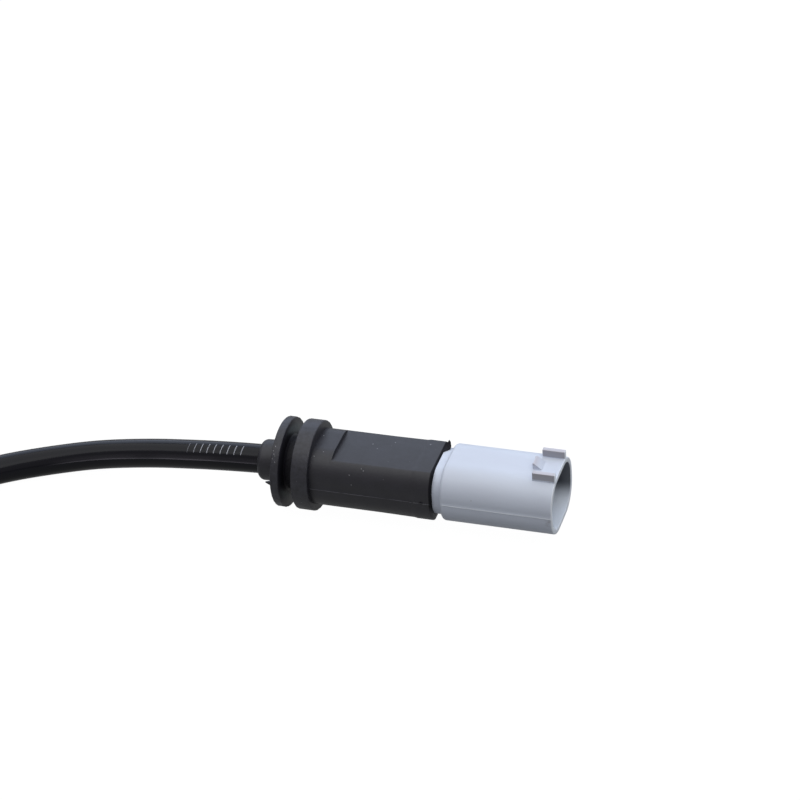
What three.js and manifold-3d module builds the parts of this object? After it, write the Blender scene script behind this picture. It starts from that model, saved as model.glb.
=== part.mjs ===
// Brake pad wear sensor: a plug with its rubber boot, the lead folded into a tied hank, and the
// sensing head. Millimetres, +Z up. The plug lies along X with its open mouth towards +X, and the
// origin is under the middle of the plug, on the surface that it lies on.
import * as THREE from "three";
import { mergeVertices } from "three/addons/utils/BufferGeometryUtils.js";
import Module from "manifold-3d";

const wasm = await Module();
wasm.setup();

// Cable: one jacket over two insulated cores.
const CABLE_DIAMETER = 4.9;
const JACKET_DEPTH = 10.7; // how far the jacket reaches into the boot
const CORE_DIAMETER = 1.7;
const CORE_PITCH = 2.0; // between the two cores inside the jacket
const CORE_STRAIGHT = 1.1; // straight length of a core before and after it spreads

// Rubber boot, from its rear edge to its front edge.
const NECK_RADIUS = 3.35;
const NECK_LENGTH = 4.7;
const NECK_EDGE = 1.0; // rounding of the neck's rear edge
const FLANGE_RADIUS = 7.5;
const REAR_FLANGE = 1.42; // thickness
const GROOVE_WIDTH = 2.18;
const GROOVE_RADIUS = 4.5;
const FRONT_FLANGE = 2.9; // thickness
const FLANGE_EDGE = 0.4; // rounding of the flanges' rims
const BODY_LENGTH = 20.98;
const BODY_HALF_WIDTH = 6.4;
const BODY_HALF_HEIGHT = 5.4;
const BODY_CORNER = 4.4;
const FLAT_HALF_HEIGHT = 4.65; // from the axis to each recessed flat
const SHOULDER = 3.6; // from the front flange to the start of the flats
const BOOT_WALL = 1.25; // over the tail of the housing
const CHAMBER_MARGIN = 0.6; // beside the cores, where they spread inside the boot
const CHAMBER_HEADROOM = 1.2; // above and below the cores

// Connector housing.
const SHELL_LENGTH = 18.92;
const SHELL_HALF_WIDTH = 6.72;
const SHELL_HALF_HEIGHT = 5.05;
const SHELL_CORNER = 4.35;
const SHELL_WALL = 1.0;
const COLLAR_LENGTH = 1.43;
const COLLAR_INSET = 0.4;
const TAIL_LENGTH = 15.5;
const MOUTH_DEPTH = 16.3;
const RIB_LENGTH = 3.85;
const RIB_HEIGHT = 1.25;
const RIB_THICKNESS = 0.85;
const RIB_SPAN = 7.38; // over the outer faces of the two ribs
const NUB_LENGTH = 2.0;
const NUB_WIDTH = 2.3;
const NUB_HEIGHT = 1.45;
const NUB_TOP = 0.3; // length of the nub's level top
const NUB_SETBACK = 4.55; // from the mouth to the nub's rear face

// Terminals, their seals and the plate that locks them.
const PIN_PITCH = 5.0;
const PIN_RADIUS = 0.75;
const PIN_REACH = 9.5; // how far a pin stands out of the lock plate
const PIN_TIP_RADIUS = 0.3;
const PIN_TAPER = 1.5; // length of the tapered tip
const TERMINAL_SIDE = 2.2;
const TERMINAL_LENGTH = 9.0;
const BARREL_RADIUS = 1.1;
const BARREL_LENGTH = 3.2;
const CRIMP_DEPTH = 2.4; // how far a core reaches into its barrel
const SEAL_RADIUS = 1.85;
const SEAL_LENGTH = 5.0;
const SEAL_GROOVE = 0.3;
const SEAL_RIBS = 3;
const LOCK_THICKNESS = 1.6;

// Hank: three turns of the lead, two on the surface and one on top of them.
const HANK_RUN = 76;
const HANK_TURN_RADIUS = 15; // of the innermost turn
const STRAND_PITCH = 4.95;
const HANK_RIGHT = -99.5; // X of the centre of the right-hand fold
const TIE_WIDTH = 5.0;
const TIE_THICKNESS = 0.5;
const TIE_CORNER = 0.8; // inside the band

// Sensing head, lying in the window of the hank with its nose towards +X.
const HEAD_REAR = -115; // X of the rear face of the body
const HEAD_Y = -0.5;
const HEAD_LENGTH = 18.0;
const HEAD_WIDTH = 10.0;
const HEAD_HEIGHT = 7.0;
const HEAD_CORNER = 1.2;
const NOSE_LENGTH = 8.0;
const NOSE_WIDTH = 6.0;
const NOSE_HEIGHT = 4.6;
const NOSE_CORNER = 1.0;
const CABLE_SOCKET = 5.0; // depth of the hole that takes the cable
const SPLICE_RADIUS = 0.9;
const SPLICE_LENGTH = 6.0;
const LOOP_DIAMETER = 0.9;
const LOOP_PITCH = 2.6;
const LOOP_REACH = 6.4; // from the nose's root to the loop's crown
const LOOP_CHANNEL = 0.2; // room around the loop's wire in the head
const RELIEF_LENGTH = 9.0;
const RELIEF_TIP = 0.45; // wall at the thin end
const RELIEF_EDGE = 0.1; // rounding of the thin end
const CLIP_THICKNESS = 0.5;
const CLIP_LENGTH = 8.0;
const CLIP_SETBACK = 3.5; // from the body's front face to the clip
const CLIP_EAR = 2.2;

// Clearances.
const FIT = 0.1; // between pieces that fit in one another
const GAP = 0.3; // between the cable's own solids

// Places along the plug's axis, from the rear face of the rear flange.
const grooveStart = REAR_FLANGE;
const frontFlangeStart = grooveStart + GROOVE_WIDTH;
const bodyStart = frontFlangeStart + FRONT_FLANGE;
const shoulderAt = bodyStart + SHOULDER;
const bootEnd = bodyStart + BODY_LENGTH;
const shellStart = bootEnd + COLLAR_LENGTH;
const mouthAt = shellStart + SHELL_LENGTH;
const floorAt = mouthAt - MOUTH_DEPTH;
const tailStart = bootEnd - TAIL_LENGTH;
const sealEnd = tailStart + SEAL_LENGTH + FIT;
const jacketEnd = JACKET_DEPTH - NECK_LENGTH;
const terminalEnd = floorAt;
const terminalStart = terminalEnd - TERMINAL_LENGTH;
const barrelStart = terminalStart - BARREL_LENGTH;

// The tail of the housing sits in the boot, one boot wall inside the boot's flats.
const tailHalfWidth = BODY_HALF_WIDTH - BOOT_WALL;
const tailHalfHeight = FLAT_HALF_HEIGHT - BOOT_WALL;
const tailCorner = BODY_CORNER - BOOT_WALL;

// The plug's frame in the part's frame: the axis height and the shift that centres the plug.
const AXIS_HEIGHT = FLANGE_RADIUS;
const PLUG_SHIFT = -(mouthAt - NECK_LENGTH) / 2;

// Segment counts.
const ROUND = 48;
const SMALL_ROUND = 24;
const CORNER_STEPS = 8;
const EDGE_STEPS = 4;
const CABLE_SIDES = 12;
const CORE_STEPS = 24;
const LEAD_STEPS = 40;
const TAIL_STEPS = 24;
const LOOP_STEPS = 48;

const ALONG_X = new THREE.Matrix4().makeBasis(
  new THREE.Vector3(0, 1, 0),
  new THREE.Vector3(0, 0, 1),
  new THREE.Vector3(1, 0, 0),
);

// A closed geometry as a solid that can be joined and cut.
function solidOf(geometry) {
  const bare = geometry.clone();
  bare.deleteAttribute("normal");
  bare.deleteAttribute("uv");
  const merged = mergeVertices(bare, 1e-4);
  const mesh = new wasm.Mesh({
    numProp: 3,
    vertProperties: merged.attributes.position.array,
    triVerts: new Uint32Array(merged.index.array),
  });
  return new wasm.Manifold(mesh);
}

// A solid back as a geometry.
function geometryOf(solid) {
  const mesh = solid.getMesh();
  const geometry = new THREE.BufferGeometry();
  geometry.setAttribute("position", new THREE.BufferAttribute(mesh.vertProperties, 3));
  geometry.setIndex(new THREE.BufferAttribute(mesh.triVerts, 1));
  return geometry;
}

// A box between two corners.
function box(low, high) {
  const size = high.map((value, i) => value - low[i]);
  const middle = high.map((value, i) => (value + low[i]) / 2);
  return new THREE.BoxGeometry(...size).translate(...middle);
}

// A solid of revolution about the X axis, from [x, radius] points that start and end on the axis.
function turned(points, segments = ROUND) {
  const profile = points.map(([x, radius]) => new THREE.Vector2(radius, x));
  return new THREE.LatheGeometry(profile, segments).rotateZ(-Math.PI / 2).rotateX(Math.PI / 2);
}

// A round bar along X.
function bar(start, end, radius, segments = SMALL_ROUND) {
  return turned([[start, 0], [start, radius], [end, radius], [end, 0]], segments);
}

// An oval with flat sides, as an outline around the axis.
function oval(halfWidth, halfHeight, corner) {
  const reach = Math.min(corner, halfWidth, halfHeight);
  const shape = new THREE.Shape();
  const w = halfWidth - reach;
  const h = halfHeight - reach;
  shape.absarc(w, h, reach, 0, Math.PI / 2);
  shape.absarc(-w, h, reach, Math.PI / 2, Math.PI);
  shape.absarc(-w, -h, reach, Math.PI, 1.5 * Math.PI);
  shape.absarc(w, -h, reach, 1.5 * Math.PI, 2 * Math.PI);
  shape.closePath();
  return shape;
}

// An outline in the Y-Z plane, drawn out along X.
function drawn(shape, start, end) {
  const options = { depth: end - start, bevelEnabled: false, curveSegments: CORNER_STEPS };
  const geometry = new THREE.ExtrudeGeometry(shape, options);
  return geometry.applyMatrix4(ALONG_X).translate(start, 0, 0);
}

// A round tube along a smooth curve through points.
function tube(points, diameter, sides, steps) {
  const knots = points.map((point) => new THREE.Vector3(...point));
  const path = new THREE.CatmullRomCurve3(knots, false, "centripetal");
  const section = new THREE.Shape();
  for (let i = 0; i < sides; i += 1) {
    const angle = (-2 * Math.PI * i) / sides;
    const x = (diameter / 2) * Math.cos(angle);
    const y = (diameter / 2) * Math.sin(angle);
    if (i === 0) section.moveTo(x, y);
    else section.lineTo(x, y);
  }
  section.closePath();
  return new THREE.ExtrudeGeometry(section, { extrudePath: path, steps, bevelEnabled: false });
}

// A stadium outline in the X-Y plane: two round ends and two straight runs.
function stadium(left, right, radius) {
  const shape = new THREE.Shape();
  shape.absarc(right, 0, radius, -Math.PI / 2, Math.PI / 2);
  shape.absarc(left, 0, radius, Math.PI / 2, 1.5 * Math.PI);
  shape.closePath();
  return shape;
}

const MATERIALS = {
  rubber: { color: 0x26262b, roughness: 0.85, metalness: 0 },
  shell: { color: 0xb9bfcf, roughness: 0.45, metalness: 0 },
  jacket: { color: 0x141416, roughness: 0.3, metalness: 0 },
  lock: { color: 0xe4e4df, roughness: 0.5, metalness: 0 },
  silicone: { color: 0x3f7fb5, roughness: 0.6, metalness: 0 },
  coreOne: { color: 0x7a4a28, roughness: 0.5, metalness: 0 },
  coreTwo: { color: 0x2f5fa8, roughness: 0.5, metalness: 0 },
  tin: { color: 0xc9c7c0, roughness: 0.3, metalness: 1 },
  spring: { color: 0x9a9ca0, roughness: 0.35, metalness: 1 },
  tie: { color: 0x1c1c1e, roughness: 0.6, metalness: 0 },
  head: { color: 0x1d1d20, roughness: 0.55, metalness: 0 },
};

const part = new THREE.Group();
const plug = new THREE.Group();
plug.position.set(PLUG_SHIFT, 0, AXIS_HEIGHT);
part.add(plug);

// Adds one named piece to a group.
function add(group, name, geometry, finish) {
  const mesh = new THREE.Mesh(geometry, new THREE.MeshStandardMaterial(MATERIALS[finish]));
  mesh.name = name;
  group.add(mesh);
}

// Rubber boot: neck, two flanges with a groove between them, and the body with its flats.
function rubberBoot() {
  const neckRim = NECK_RADIUS - NECK_EDGE;
  const rim = FLANGE_RADIUS - FLANGE_EDGE;
  const profile = [[-NECK_LENGTH, 0], [-NECK_LENGTH, neckRim]];
  for (let i = 1; i <= EDGE_STEPS; i += 1) {
    const angle = (i / EDGE_STEPS) * (Math.PI / 2);
    const along = -NECK_LENGTH + NECK_EDGE * (1 - Math.cos(angle));
    profile.push([along, neckRim + NECK_EDGE * Math.sin(angle)]);
  }
  profile.push([0, NECK_RADIUS], [0, rim], [FLANGE_EDGE / 2, FLANGE_RADIUS]);
  profile.push([grooveStart - FLANGE_EDGE / 2, FLANGE_RADIUS], [grooveStart, rim]);
  profile.push([grooveStart, GROOVE_RADIUS], [frontFlangeStart, GROOVE_RADIUS]);
  profile.push([frontFlangeStart, rim], [frontFlangeStart + FLANGE_EDGE / 2, FLANGE_RADIUS]);
  profile.push([bodyStart - FLANGE_EDGE, FLANGE_RADIUS], [bodyStart, rim], [bodyStart, 0]);
  const flanges = solidOf(turned(profile));

  const bodyShape = oval(BODY_HALF_WIDTH, BODY_HALF_HEIGHT, BODY_CORNER);
  let body = solidOf(drawn(bodyShape, bodyStart - FRONT_FLANGE / 2, bootEnd));
  for (const side of [-1, 1]) {
    const inner = side * FLAT_HALF_HEIGHT;
    const outer = side * (BODY_HALF_HEIGHT + 1);
    const low = [shoulderAt, -BODY_HALF_WIDTH - 1, Math.min(inner, outer)];
    const high = [bootEnd + 1, BODY_HALF_WIDTH + 1, Math.max(inner, outer)];
    body = body.subtract(solidOf(box(low, high)));
  }

  const cableBore = solidOf(bar(-NECK_LENGTH - 1, jacketEnd + GAP, CABLE_DIAMETER / 2 + FIT));
  const chamberWidth = PIN_PITCH / 2 + CORE_DIAMETER / 2 + CHAMBER_MARGIN;
  const chamberHeight = CORE_DIAMETER / 2 + CHAMBER_HEADROOM;
  const chamberShape = oval(chamberWidth, chamberHeight, chamberHeight);
  const chamber = solidOf(drawn(chamberShape, jacketEnd, tailStart + FIT));
  const pocketShape = oval(tailHalfWidth + FIT, tailHalfHeight + FIT, tailCorner + FIT);
  const pocket = solidOf(drawn(pocketShape, tailStart - FIT, bootEnd + 1));
  return flanges.add(body).subtract(cableBore).subtract(chamber).subtract(pocket);
}

// The shell's outline, moved inwards by an inset.
function shellOutline(inset) {
  return oval(SHELL_HALF_WIDTH - inset, SHELL_HALF_HEIGHT - inset, SHELL_CORNER - inset);
}

// A guide rib on the top flat of the shell, at one side of the middle.
function rib(side) {
  const outer = (side * RIB_SPAN) / 2;
  const inner = outer - side * RIB_THICKNESS;
  const root = SHELL_HALF_HEIGHT - SHELL_WALL / 2;
  const low = [mouthAt - RIB_LENGTH, Math.min(outer, inner), root];
  const high = [mouthAt, Math.max(outer, inner), SHELL_HALF_HEIGHT + RIB_HEIGHT];
  return solidOf(box(low, high));
}

// The latch nub: upright at the rear, sloping down towards the mouth.
function nub() {
  const rear = mouthAt - NUB_SETBACK;
  const root = SHELL_HALF_HEIGHT - SHELL_WALL / 2;
  const top = SHELL_HALF_HEIGHT + NUB_HEIGHT;
  const outline = new THREE.Shape();
  outline.moveTo(rear, root);
  outline.lineTo(rear + NUB_LENGTH, root);
  outline.lineTo(rear + NUB_LENGTH, SHELL_HALF_HEIGHT);
  outline.lineTo(rear + NUB_TOP, top);
  outline.lineTo(rear, top);
  outline.closePath();
  const wedge = new THREE.ExtrudeGeometry(outline, { depth: NUB_WIDTH, bevelEnabled: false });
  return solidOf(wedge.rotateX(Math.PI / 2).translate(0, NUB_WIDTH / 2, 0));
}

// Connector housing: shell, collar and tail in one moulding.
function connectorHousing() {
  const shell = solidOf(drawn(shellOutline(0), shellStart, mouthAt));
  const collar = solidOf(drawn(shellOutline(COLLAR_INSET), bootEnd, shellStart + SHELL_WALL));
  const tailShape = oval(tailHalfWidth, tailHalfHeight, tailCorner);
  const tail = solidOf(drawn(tailShape, tailStart, shellStart + SHELL_WALL));
  const mouth = solidOf(drawn(shellOutline(SHELL_WALL), floorAt, mouthAt + 1));
  let housing = shell.add(collar).add(tail).subtract(mouth);
  housing = housing.add(rib(-1)).add(rib(1)).add(nub());
  for (const side of [-1, 1]) {
    const y = (side * PIN_PITCH) / 2;
    const sealBore = bar(tailStart - 1, sealEnd, SEAL_RADIUS + FIT).translate(0, y, 0);
    const half = TERMINAL_SIDE / 2 + FIT;
    const cavity = box([sealEnd - FIT, y - half, -half], [floorAt + 1, y + half, half]);
    housing = housing.subtract(solidOf(sealBore)).subtract(solidOf(cavity));
  }
  return housing;
}

// A male contact: crimp barrel, square middle and a round pin with a tapered tip.
function contactPin() {
  const tip = terminalEnd + LOCK_THICKNESS + PIN_REACH;
  const barrel = solidOf(bar(barrelStart, terminalStart + BARREL_RADIUS / 2, BARREL_RADIUS));
  const half = TERMINAL_SIDE / 2;
  const middle = solidOf(box([terminalStart, -half, -half], [terminalEnd - FIT, half, half]));
  const profile = [[terminalEnd - 1, 0], [terminalEnd - 1, PIN_RADIUS]];
  profile.push([tip - PIN_TAPER, PIN_RADIUS], [tip, PIN_TIP_RADIUS], [tip, 0]);
  const pin = turned(profile, SMALL_ROUND);
  const bore = bar(barrelStart - 1, barrelStart + CRIMP_DEPTH + FIT, CORE_DIAMETER / 2 + FIT / 2);
  return barrel.add(middle).add(solidOf(pin)).subtract(solidOf(bore));
}

// A ribbed seal on a core.
function wireSeal() {
  const start = tailStart + FIT;
  const pitch = (SEAL_LENGTH - FIT) / (2 * SEAL_RIBS - 1);
  const profile = [[start, CORE_DIAMETER / 2 + FIT / 2]];
  for (let i = 0; i < 2 * SEAL_RIBS - 1; i += 1) {
    const radius = i % 2 === 0 ? SEAL_RADIUS : SEAL_RADIUS - SEAL_GROOVE;
    profile.push([start + i * pitch, radius], [start + (i + 1) * pitch, radius]);
  }
  profile.push([start + (2 * SEAL_RIBS - 1) * pitch, CORE_DIAMETER / 2 + FIT / 2]);
  profile.push(profile[0]);
  return turned(profile, SMALL_ROUND);
}

// One insulated core, from the jacket's end to the crimp barrel.
function coreWire(side) {
  const near = (side * CORE_PITCH) / 2;
  const far = (side * PIN_PITCH) / 2;
  const start = jacketEnd + GAP;
  const points = [
    [start, near, 0],
    [start + CORE_STRAIGHT, near, 0],
    [(start + tailStart) / 2, (near + far) / 2, 0],
    [tailStart - CORE_STRAIGHT, far, 0],
    [tailStart, far, 0],
    [(tailStart + barrelStart) / 2, far, 0],
    [barrelStart + CRIMP_DEPTH, far, 0],
  ];
  return tube(points, CORE_DIAMETER, CABLE_SIDES, CORE_STEPS);
}

// The plate on the floor of the mouth, with a hole for each pin.
function terminalLock() {
  const outline = shellOutline(SHELL_WALL + FIT);
  for (const side of [-1, 1]) {
    const hole = new THREE.Path();
    hole.absarc((side * PIN_PITCH) / 2, 0, PIN_RADIUS + FIT, 0, 2 * Math.PI, true);
    outline.holes.push(hole);
  }
  return drawn(outline, floorAt, floorAt + LOCK_THICKNESS);
}

add(plug, "connector_housing", geometryOf(connectorHousing()), "shell");
add(plug, "rubber_boot", geometryOf(rubberBoot()), "rubber");
add(plug, "terminal_lock", terminalLock(), "lock");
[-1, 1].forEach((side, i) => {
  const y = (side * PIN_PITCH) / 2;
  add(plug, `contact_pin_${i + 1}`, geometryOf(contactPin()).translate(0, y, 0), "tin");
  add(plug, `wire_seal_${i + 1}`, wireSeal().translate(0, y, 0), "silicone");
  add(plug, `core_wire_${i + 1}`, coreWire(side), i === 0 ? "coreOne" : "coreTwo");
});

// The lead from the end of its jacket in the boot to the hank. It leaves the neck straight,
// sinks to the surface and turns towards the hank's near run.
const LEAD_ROUTE = [
  [PLUG_SHIFT + jacketEnd, 0, AXIS_HEIGHT],
  [PLUG_SHIFT, 0, AXIS_HEIGHT],
  [PLUG_SHIFT - NECK_LENGTH, 0, AXIS_HEIGHT],
  [-31.2, -0.1, 7.25],
  [-36.7, 0.0, 6.6],
  [-46.2, 0.3, 5.2],
  [-55.4, 0.0, 3.75],
  [-62.3, -1.5, 2.8],
  [-68.6, -4.3, 2.5],
  [-71.6, -6.1, 2.45],
  [-76.0, -9.1, 2.45],
  [-80.6, -12.3, 2.45],
  [-86.0, -15.6, 2.45],
  [-92.0, -18.2, 2.45],
  [-98.0, -19.6, 2.45],
  [-104.0, -19.95, 2.45],
];

// The tail of the lead, from the hank's top turn down into its window and on to the head.
const TAIL_ROUTE = [
  [-160.0, 15.9, 7.1],
  [-154.0, 13.9, 7.3],
  [-149.0, 11.6, 6.9],
  [-145.0, 9.3, 6.0],
  [-140.0, 6.3, 4.7],
  [-135.0, 3.2, 3.7],
  [-130.0, 0.9, 3.3],
  [-125.5, -0.2, 3.4],
  [-121.0, HEAD_Y, HEAD_HEIGHT / 2],
  [HEAD_REAR, HEAD_Y, HEAD_HEIGHT / 2],
  [HEAD_REAR + CABLE_SOCKET - GAP, HEAD_Y, HEAD_HEIGHT / 2],
];

const HANK_LEFT = HANK_RIGHT - HANK_RUN;
const hankOuter = HANK_TURN_RADIUS + STRAND_PITCH + CABLE_DIAMETER / 2;
const hankInner = HANK_TURN_RADIUS - CABLE_DIAMETER / 2;
const hankTop = CABLE_DIAMETER + STRAND_PITCH;
const hankMiddle = (HANK_LEFT + HANK_RIGHT) / 2;
const runMiddle = (hankOuter + hankInner) / 2;
const runHalfWidth = (hankOuter - hankInner) / 2;

// A stadium-shaped block from one height to another.
function block(radius, low, high) {
  const outline = stadium(HANK_LEFT, HANK_RIGHT, radius);
  const options = { depth: high - low, bevelEnabled: false, curveSegments: SMALL_ROUND };
  return solidOf(new THREE.ExtrudeGeometry(outline, options).translate(0, 0, low));
}

// The outer shape of the hank, with its window and a groove under each tie.
function cableHank() {
  let hank = block(hankOuter, 0, hankTop).subtract(block(hankInner, -1, hankTop + 1));
  for (const side of [-1, 1]) {
    const half = TIE_WIDTH / 2 + GAP;
    const y = side * runMiddle;
    const reach = runHalfWidth + 1;
    const low = [hankMiddle - half, y - reach, -1];
    const high = [hankMiddle + half, y + reach, TIE_THICKNESS + GAP];
    hank = hank.subtract(solidOf(box(low, high)));
  }
  return hank;
}

// A flat band around one run of the hank.
function hankTie() {
  const inside = oval(runHalfWidth + GAP, (hankTop - TIE_THICKNESS + GAP) / 2, TIE_CORNER);
  const halfHeight = (hankTop + TIE_THICKNESS + GAP) / 2;
  const outline = oval(runHalfWidth + GAP + TIE_THICKNESS, halfHeight, TIE_CORNER + TIE_THICKNESS);
  outline.holes.push(new THREE.Path(inside.getPoints(CORNER_STEPS).reverse()));
  return drawn(outline, -TIE_WIDTH / 2, TIE_WIDTH / 2).translate(hankMiddle, 0, halfHeight);
}

// The lead as far as the outline of the hank.
function cableLead() {
  const lead = solidOf(tube(LEAD_ROUTE, CABLE_DIAMETER, CABLE_SIDES, LEAD_STEPS));
  return lead.subtract(block(hankOuter + GAP, -1, hankTop + 1));
}

// The lead inside the hank's window.
function cableTail() {
  const all = solidOf(tube(TAIL_ROUTE, CABLE_DIAMETER, CABLE_SIDES, TAIL_STEPS));
  return all.intersect(block(hankInner - GAP, -1, hankTop + 1));
}

add(part, "cable_lead", geometryOf(cableLead()), "jacket");
add(part, "cable_hank", geometryOf(cableHank()), "jacket");
add(part, "cable_tail", geometryOf(cableTail()), "jacket");
add(part, "hank_tie_1", hankTie().translate(0, -runMiddle, 0), "tie");
add(part, "hank_tie_2", hankTie().translate(0, runMiddle, 0), "tie");

// The head's frame: X along its axis from the rear face of its body.
const head = new THREE.Group();
head.position.set(HEAD_REAR, HEAD_Y, HEAD_HEIGHT / 2);
part.add(head);

const spliceStart = CABLE_SOCKET;
const spliceEnd = spliceStart + SPLICE_LENGTH;
const loopCrown = HEAD_LENGTH + LOOP_REACH;

// The loop's centre line: out along one side of the nose, round and back.
function loopRoute(legStart) {
  const radius = LOOP_PITCH / 2;
  const turn = loopCrown - radius;
  const points = [];
  for (const x of [legStart, (legStart + turn) / 2]) points.push([x, -radius, 0]);
  for (let i = 0; i <= CORNER_STEPS; i += 1) {
    const angle = -Math.PI / 2 + (i / CORNER_STEPS) * Math.PI;
    points.push([turn + radius * Math.cos(angle), radius * Math.sin(angle), 0]);
  }
  for (const x of [(legStart + turn) / 2, legStart]) points.push([x, radius, 0]);
  return points;
}

// Head body: block and nose in one moulding, hollow where the cable, splices and loop sit.
function headBody() {
  const rearShape = oval(HEAD_WIDTH / 2, HEAD_HEIGHT / 2, HEAD_CORNER);
  const rear = solidOf(drawn(rearShape, 0, HEAD_LENGTH));
  const noseShape = oval(NOSE_WIDTH / 2, NOSE_HEIGHT / 2, NOSE_CORNER);
  const nose = solidOf(drawn(noseShape, HEAD_LENGTH / 2, HEAD_LENGTH + NOSE_LENGTH));
  const socket = solidOf(bar(-1, CABLE_SOCKET, CABLE_DIAMETER / 2 + FIT, ROUND));
  const channelDiameter = LOOP_DIAMETER + 2 * LOOP_CHANNEL;
  const channel = solidOf(tube(loopRoute(spliceEnd - 1), channelDiameter, CABLE_SIDES, LOOP_STEPS));
  let body = rear.add(nose).subtract(socket).subtract(channel);
  for (const side of [-1, 1]) {
    const bore = bar(spliceStart - 1, spliceEnd + FIT, SPLICE_RADIUS + FIT);
    body = body.subtract(solidOf(bore.translate(0, (side * LOOP_PITCH) / 2, 0)));
  }
  return body;
}

// A crimped splice with a blind hole that takes one leg of the loop.
function headSplice() {
  const sleeve = solidOf(bar(spliceStart, spliceEnd, SPLICE_RADIUS));
  const hole = solidOf(bar(spliceEnd - SPLICE_LENGTH / 2, spliceEnd + 1, LOOP_DIAMETER / 2 + FIT));
  return sleeve.subtract(hole);
}

// Tapered sleeve behind the head.
function headStrainRelief() {
  const bore = CABLE_DIAMETER / 2 + FIT;
  const profile = [
    [-RELIEF_LENGTH, bore],
    [-RELIEF_LENGTH, bore + RELIEF_TIP],
    [-RELIEF_LENGTH + RELIEF_TIP, bore + RELIEF_TIP + RELIEF_EDGE],
    [0, HEAD_HEIGHT / 2 - FIT],
    [0, bore],
    [-RELIEF_LENGTH, bore],
  ];
  return turned(profile);
}

// Spring steel clip over the head, with an ear on each side.
function headClip() {
  const inner = HEAD_WIDTH / 2 + FIT;
  const outer = inner + CLIP_THICKNESS;
  const under = -HEAD_HEIGHT / 2 + FIT;
  const over = HEAD_HEIGHT / 2 + FIT;
  const outline = new THREE.Shape();
  outline.moveTo(-outer - CLIP_EAR, under);
  outline.lineTo(-inner, under);
  outline.lineTo(-inner, over);
  outline.lineTo(inner, over);
  outline.lineTo(inner, under);
  outline.lineTo(outer + CLIP_EAR, under);
  outline.lineTo(outer + CLIP_EAR, under + CLIP_THICKNESS);
  outline.lineTo(outer, under + CLIP_THICKNESS);
  outline.lineTo(outer, over + CLIP_THICKNESS);
  outline.lineTo(-outer, over + CLIP_THICKNESS);
  outline.lineTo(-outer, under + CLIP_THICKNESS);
  outline.lineTo(-outer - CLIP_EAR, under + CLIP_THICKNESS);
  outline.closePath();
  const front = HEAD_LENGTH - CLIP_SETBACK;
  return drawn(outline, front - CLIP_LENGTH, front);
}

add(head, "head_body", geometryOf(headBody()), "head");
add(head, "head_strain_relief", headStrainRelief(), "rubber");
add(head, "head_clip", headClip(), "spring");
const loopStart = spliceEnd - SPLICE_LENGTH / 2 + FIT;
const loop = tube(loopRoute(loopStart), LOOP_DIAMETER, CABLE_SIDES, LOOP_STEPS);
add(head, "sensing_loop", loop, "tin");
[-1, 1].forEach((side, i) => {
  const splice = geometryOf(headSplice()).translate(0, (side * LOOP_PITCH) / 2, 0);
  add(head, `head_splice_${i + 1}`, splice, "tin");
});

export default part;
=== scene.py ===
"""Looks of a brake pad wear sensor: plug in its rubber boot, cable, tied hank and sensing head."""

import logging
import math
from dataclasses import dataclass
from enum import Enum
from functools import reduce
from typing import Callable, Iterable, Sequence

import bmesh
import bpy
from mathutils import Matrix, Vector


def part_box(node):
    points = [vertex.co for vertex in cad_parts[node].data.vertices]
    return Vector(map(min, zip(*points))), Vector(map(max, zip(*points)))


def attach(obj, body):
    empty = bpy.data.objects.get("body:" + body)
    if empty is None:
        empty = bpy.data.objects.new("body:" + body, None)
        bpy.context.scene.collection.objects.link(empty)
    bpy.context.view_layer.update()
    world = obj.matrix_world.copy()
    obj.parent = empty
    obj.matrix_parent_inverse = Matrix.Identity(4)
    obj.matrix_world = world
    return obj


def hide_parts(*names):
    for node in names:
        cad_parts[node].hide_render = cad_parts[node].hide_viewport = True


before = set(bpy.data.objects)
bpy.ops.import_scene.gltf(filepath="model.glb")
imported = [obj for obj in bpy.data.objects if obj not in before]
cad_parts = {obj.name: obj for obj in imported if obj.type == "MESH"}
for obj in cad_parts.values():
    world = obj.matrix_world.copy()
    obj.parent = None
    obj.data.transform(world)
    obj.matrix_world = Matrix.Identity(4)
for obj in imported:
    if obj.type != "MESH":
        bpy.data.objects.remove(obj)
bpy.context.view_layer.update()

MM = 0.001
# NEAR and WELD are in millimetres: how close counts as the same place, and how close vertices merge.
NEAR = 0.01
WELD = 0.001
# Heights of the three cuts of a parting line, of which the middle one stands out.
SEAM_STEPS = (-0.03, 0.0, 0.17)
WHITE = (1, 1, 1, 1)
BODY = "root"
LOG = logging.getLogger("wear_sensor")

Colour = tuple[float, float, float]
Place = tuple[float, float, float]


class Pick(Enum):
    """What a selection in edit mode is made of."""

    VERTICES = 0
    EDGES = 1
    FACES = 2


class Join(Enum):
    """How one solid acts on another."""

    ADD = "UNION"
    CUT = "DIFFERENCE"


class Slot(Enum):
    """The record's material slots of the new pieces."""

    SHELL = "shell"
    BOOT = "boot"
    JACKET = "jacket"
    LOCK = "lock"
    CONTACT = "contact"
    TIE = "tie"
    HEAD = "head"
    CLIP = "clip"


def srgb(red: int, green: int, blue: int) -> Colour:
    """Turns a colour as seen on a screen into scene-linear values.

    Args:
        red: Red from 0 to 255.
        green: Green from 0 to 255.
        blue: Blue from 0 to 255.

    Returns:
        The linear red, green and blue.
    """

    def linear(value: int) -> float:
        """Returns one channel's linear value."""
        share = value / 255
        return share / 12.92 if share <= 0.04045 else ((share + 0.055) / 1.055) ** 2.4

    return linear(red), linear(green), linear(blue)


def start_clean() -> None:
    """Leaves edit mode and deselects every object."""
    if bpy.context.mode != "OBJECT":
        bpy.ops.object.mode_set(mode="OBJECT")
    bpy.ops.object.select_all(action="DESELECT")


def eased(share: float) -> float:
    """Returns a share from 0 to 1 with a slow start and end."""
    return share * share * (3 - 2 * share)


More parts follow.
